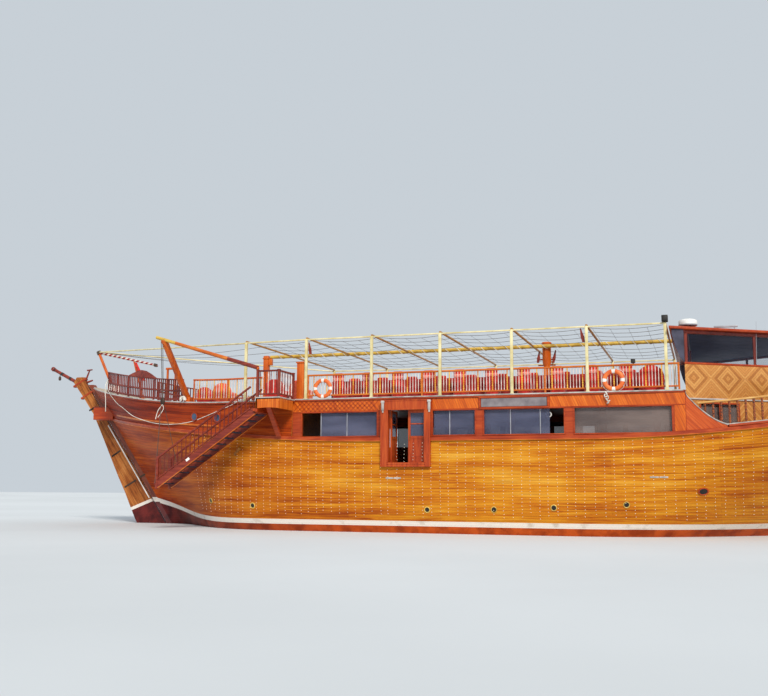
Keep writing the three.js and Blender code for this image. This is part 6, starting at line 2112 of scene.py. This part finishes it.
def small_fittings():
    # line made fast in a heap at the foot of the davit post, by the deck's edge
    heap = []
    for i in range(121):
        turn = 2 * math.pi * i / 24
        heap.append((-10.26 + 0.11 * math.sin(turn * 0.62), -4.24 + 0.04 * math.cos(turn * 1.9),
                     4.87 + 0.08 * math.sin(turn * 1.31 + 0.8)))
    finish(rope_mesh("davit_lashing", heap, 0.011, sides=6), ROPE)
    # pale plates on the side
    plates = []
    for start, end, z in ((-1.93, -1.36, 1.862), (6.86, 7.44, 1.907)):
        for x in (start, (start + end) / 2):
            spread = Matrix.Diagonal((abs(end - start) / 2 - 0.02, 0.055, 0.03, 1))
            plates.append(side_frame(x + (end - start) / 4, z) @ spread)
    finish_pair(blocks("side_plates", plates, bevel=0.006), "side_plates", EDGE_GREY)
    # stout cleat aft
    seated = side_frame(-7.72, 2.83) @ Matrix.Translation((0, 0, 0.04)) @ Matrix.Rotation(-0.8, 4, "Z")
    cleat = blocks("side_cleat", [seated @ Matrix.Diagonal((0.36, 0.09, 0.1, 1))], bevel=0.02, segments=2)
    finish_pair(cleat, "side_cleat", TEAK)
    tag = blocks("ladder_tag", [bar((-9.06, -5.948, 2.45), (-8.93, -5.948, 2.54), 0.012, 0.09)], bevel=0.004)
    finish(tag, BUOY_WHITE, body="ladder")
    # lamps and paddles that hang from the net frame
    paddles = []
    for x, y, high, low, lean in HANGING:
        rows = []
        for share, wide in ((0, 0.02), (0.3, 0.035), (0.6, 0.06), (1, 0.045)):
            x_at, z_at = x + lean * share, high + (low - high) * share
            rows.append([Vector((x_at - wide, y - 0.012, z_at)), Vector((x_at + wide, y - 0.012, z_at)),
                         Vector((x_at + wide, y + 0.012, z_at)), Vector((x_at - wide, y + 0.012, z_at))])
        paddles.append(lofted("paddle", rows))
    finish(joined("hanging_lamps", *paddles), MAROON_LONG)
    heads = [block((7.40, 7.60), (-4.82, -4.62), (6.87, 7.09)), block((7.43, 7.57), (-4.86, -4.80), (6.90, 7.06)),
             block((6.39, 6.53), (-4.68, -4.55), (5.58, 5.72)), block((6.44, 6.48), (-4.62, -4.58), (5.54, 5.60))]
    finish(blocks("flood_lamps", heads, bevel=0.02, segments=2), BLACK)
    deselect()
    bpy.ops.mesh.primitive_torus_add(major_radius=0.085, minor_radius=0.02, major_segments=28, minor_segments=8,
                                     rotation=(math.pi / 2, 0, 0), location=(3.68, -4.53, 3.97))
    ring = bpy.context.object
    ring.name = ring.data.name = "window_ring"
    bpy.ops.object.transform_apply(location=True, rotation=True, scale=True)
    finish(ring, BUOY_WHITE, angle=60)
    # knotted line under the fore ring buoy
    knot = []
    for i in range(61):
        turn = 2 * math.pi * i / 20
        knot.append((5.62 + 0.05 * math.sin(turn) + 0.002 * i - 0.06, -4.79 - 0.03 * math.cos(turn),
                     4.62 - 0.006 * i + 0.03 * math.cos(turn * 1.7)))
    finish(rope_mesh("knotted_line", knot, 0.02, sides=7), ROPE)
    # corbels and lamps at the head of each door frame
    corbels = []
    for x in (DOOR_FRAME["from"] + 0.10, DOOR_FRAME["to"] - 0.02):
        corbels += [block((x - 0.045, x + 0.045), (-4.99, -4.925), (4.18, 4.50)),
                    block((x - 0.06, x + 0.06), (-5.01, -4.925), (4.44, 4.52)),
                    block((x - 0.03, x + 0.03), (-4.97, -4.925), (4.10, 4.20))]
    finish_pair(blocks("door_corbels", corbels, bevel=0.014, segments=2), "door_corbels", EDGE_GREY)


small_fittings()


def stern_details():
    # arched cover on the poop rail
    rings = []
    for x, rise in ((-13.55, 0.0), (-13.3, 0.10), (-12.95, 0.22), (-12.74, 0.26), (-12.5, 0.24), (-12.2, 0.14),
                    (-11.9, 0.0)):
        y, foot = poop_line(x), deck_height(x) + 0.875
        rings.append([Vector((x, y - 0.05, foot)), Vector((x, y + 0.05, foot)),
                      Vector((x, y + 0.04, foot + 0.02 + rise)),
                      Vector((x, y - 0.04, foot + 0.02 + rise))])
    finish(lofted("poop_rail_crest", rings), MAROON_LONG)
    low = deck_height(-11.6)
    arch = [block((-11.62, -11.55), (-3.24, -3.16), (low, 6.2)),
            block((-11.26, -11.19), (-3.24, -3.16), (low - 0.05, 6.2)),
            block((-11.66, -11.15), (-3.25, -3.15), (6.13, 6.21))]
    finish(blocks("deck_arch", arch, bevel=0.01), ORANGE_UP)
    posts = [upright(x, poop_line(x), deck_height(x) + 0.13, deck_height(x) + 0.39) for x in spaced(-15.0, -14.3, 5)]
    finish(repeated("poop_white_posts", baluster(0.035, 8), posts), PALE_TURNED)
    # cloth that wraps the prop of the stern spar
    rows = []
    foot, head = Vector((-14.72, 0, deck_height(-14.7) + 0.8)), Vector((-15.15, 0, 6.95))
    for share in spaced(0, 1, 10):
        centre = foot.lerp(head, share)
        rows.append([centre + point
                     for point in soft_ring(0.10 - 0.045 * share, 0.09 - 0.04 * share, 0, 24, 0.12, 5, 2.5, share * 3)])
    wrap = lofted("spar_prop_cloth", rows)
    finish(wrap, RED_CLOTH, angle=60)
    # lashings at the head and foot of the stern pole, and a short end that hangs by the rail
    coils = []
    for centre, ahead, radius, turns in ((Vector((-17.02, 0, 7.38)), Vector((-0.45, 0, 1)), 0.085, 5),
                                         (Vector((-16.28, 0, 5.85)), Vector((-0.45, 0, 1)), 0.085, 4),
                                         (Vector((-14.20, 0, 6.81)), Vector((1, 0, -0.23)), 0.06, 5)):
        ahead = ahead.normalized()
        side = Vector((0, 1, 0))
        up = ahead.cross(side)
        points = []
        for i in range(turns * 12 + 1):
            angle = 2 * math.pi * i / 12
            points.append(centre + ahead * (0.03 * i / 12) + radius * (math.cos(angle) * side + math.sin(angle) * up))
        coils.append(rope_mesh("coil", points, 0.016))
    finish(joined("stern_lashings", *coils), DARK_ROPE)
    end = [(-15.15, -2.0, 5.98), (-15.16, -2.14, 5.72), (-15.14, -2.18, 5.42), (-15.11, -2.17, 5.1),
           (-15.10, -2.15, 4.62)]
    finish(rope_mesh("hanging_end", rounded_path([Vector(point) for point in end], 5), 0.016), ROPE)


stern_details()

# Wires of the net


def net_wires():
    wires = []
    high = NET_HEIGHT + 0.062
    for y in (-3.9, -3.0, -2.1, -1.1, 1.1, 2.1, 3.0, 3.9):
        points = []
        for start, end in zip(NET_POSTS, NET_POSTS[1:]):
            for share in spaced(0, 1, 7)[:-1]:
                sag = 0.09 * 4 * share * (1 - share)
                points.append((start + (end - start) * share, y, high - sag))
        points.append((NET_POSTS[-1], y, high))
        wires.append(rope_mesh("wire", points, 0.007, sides=5))
    for y in (-3.0, -1.5, 1.5, 3.0):
        points = [(-17.0 + 9.5 * share, y * share, 7.47 - 0.55 * share - 0.25 * math.sin(math.pi * share))
                  for share in spaced(0, 1, 14)]
        wires.append(rope_mesh("wire", points, 0.007, sides=5))
    for x in spaced(-6.9, 6.9, 24):
        sag = 0.09 * 4 * (((x + 7.5) % 2.5) / 2.5) * (1 - ((x + 7.5) % 2.5) / 2.5)
        wires.append(rope_mesh("wire", [(x, y, high - sag) for y in (-3.9, 0, 3.9)], 0.005, sides=5))
    finish(joined("net_wires", *wires), DARK_ROPE)


net_wires()
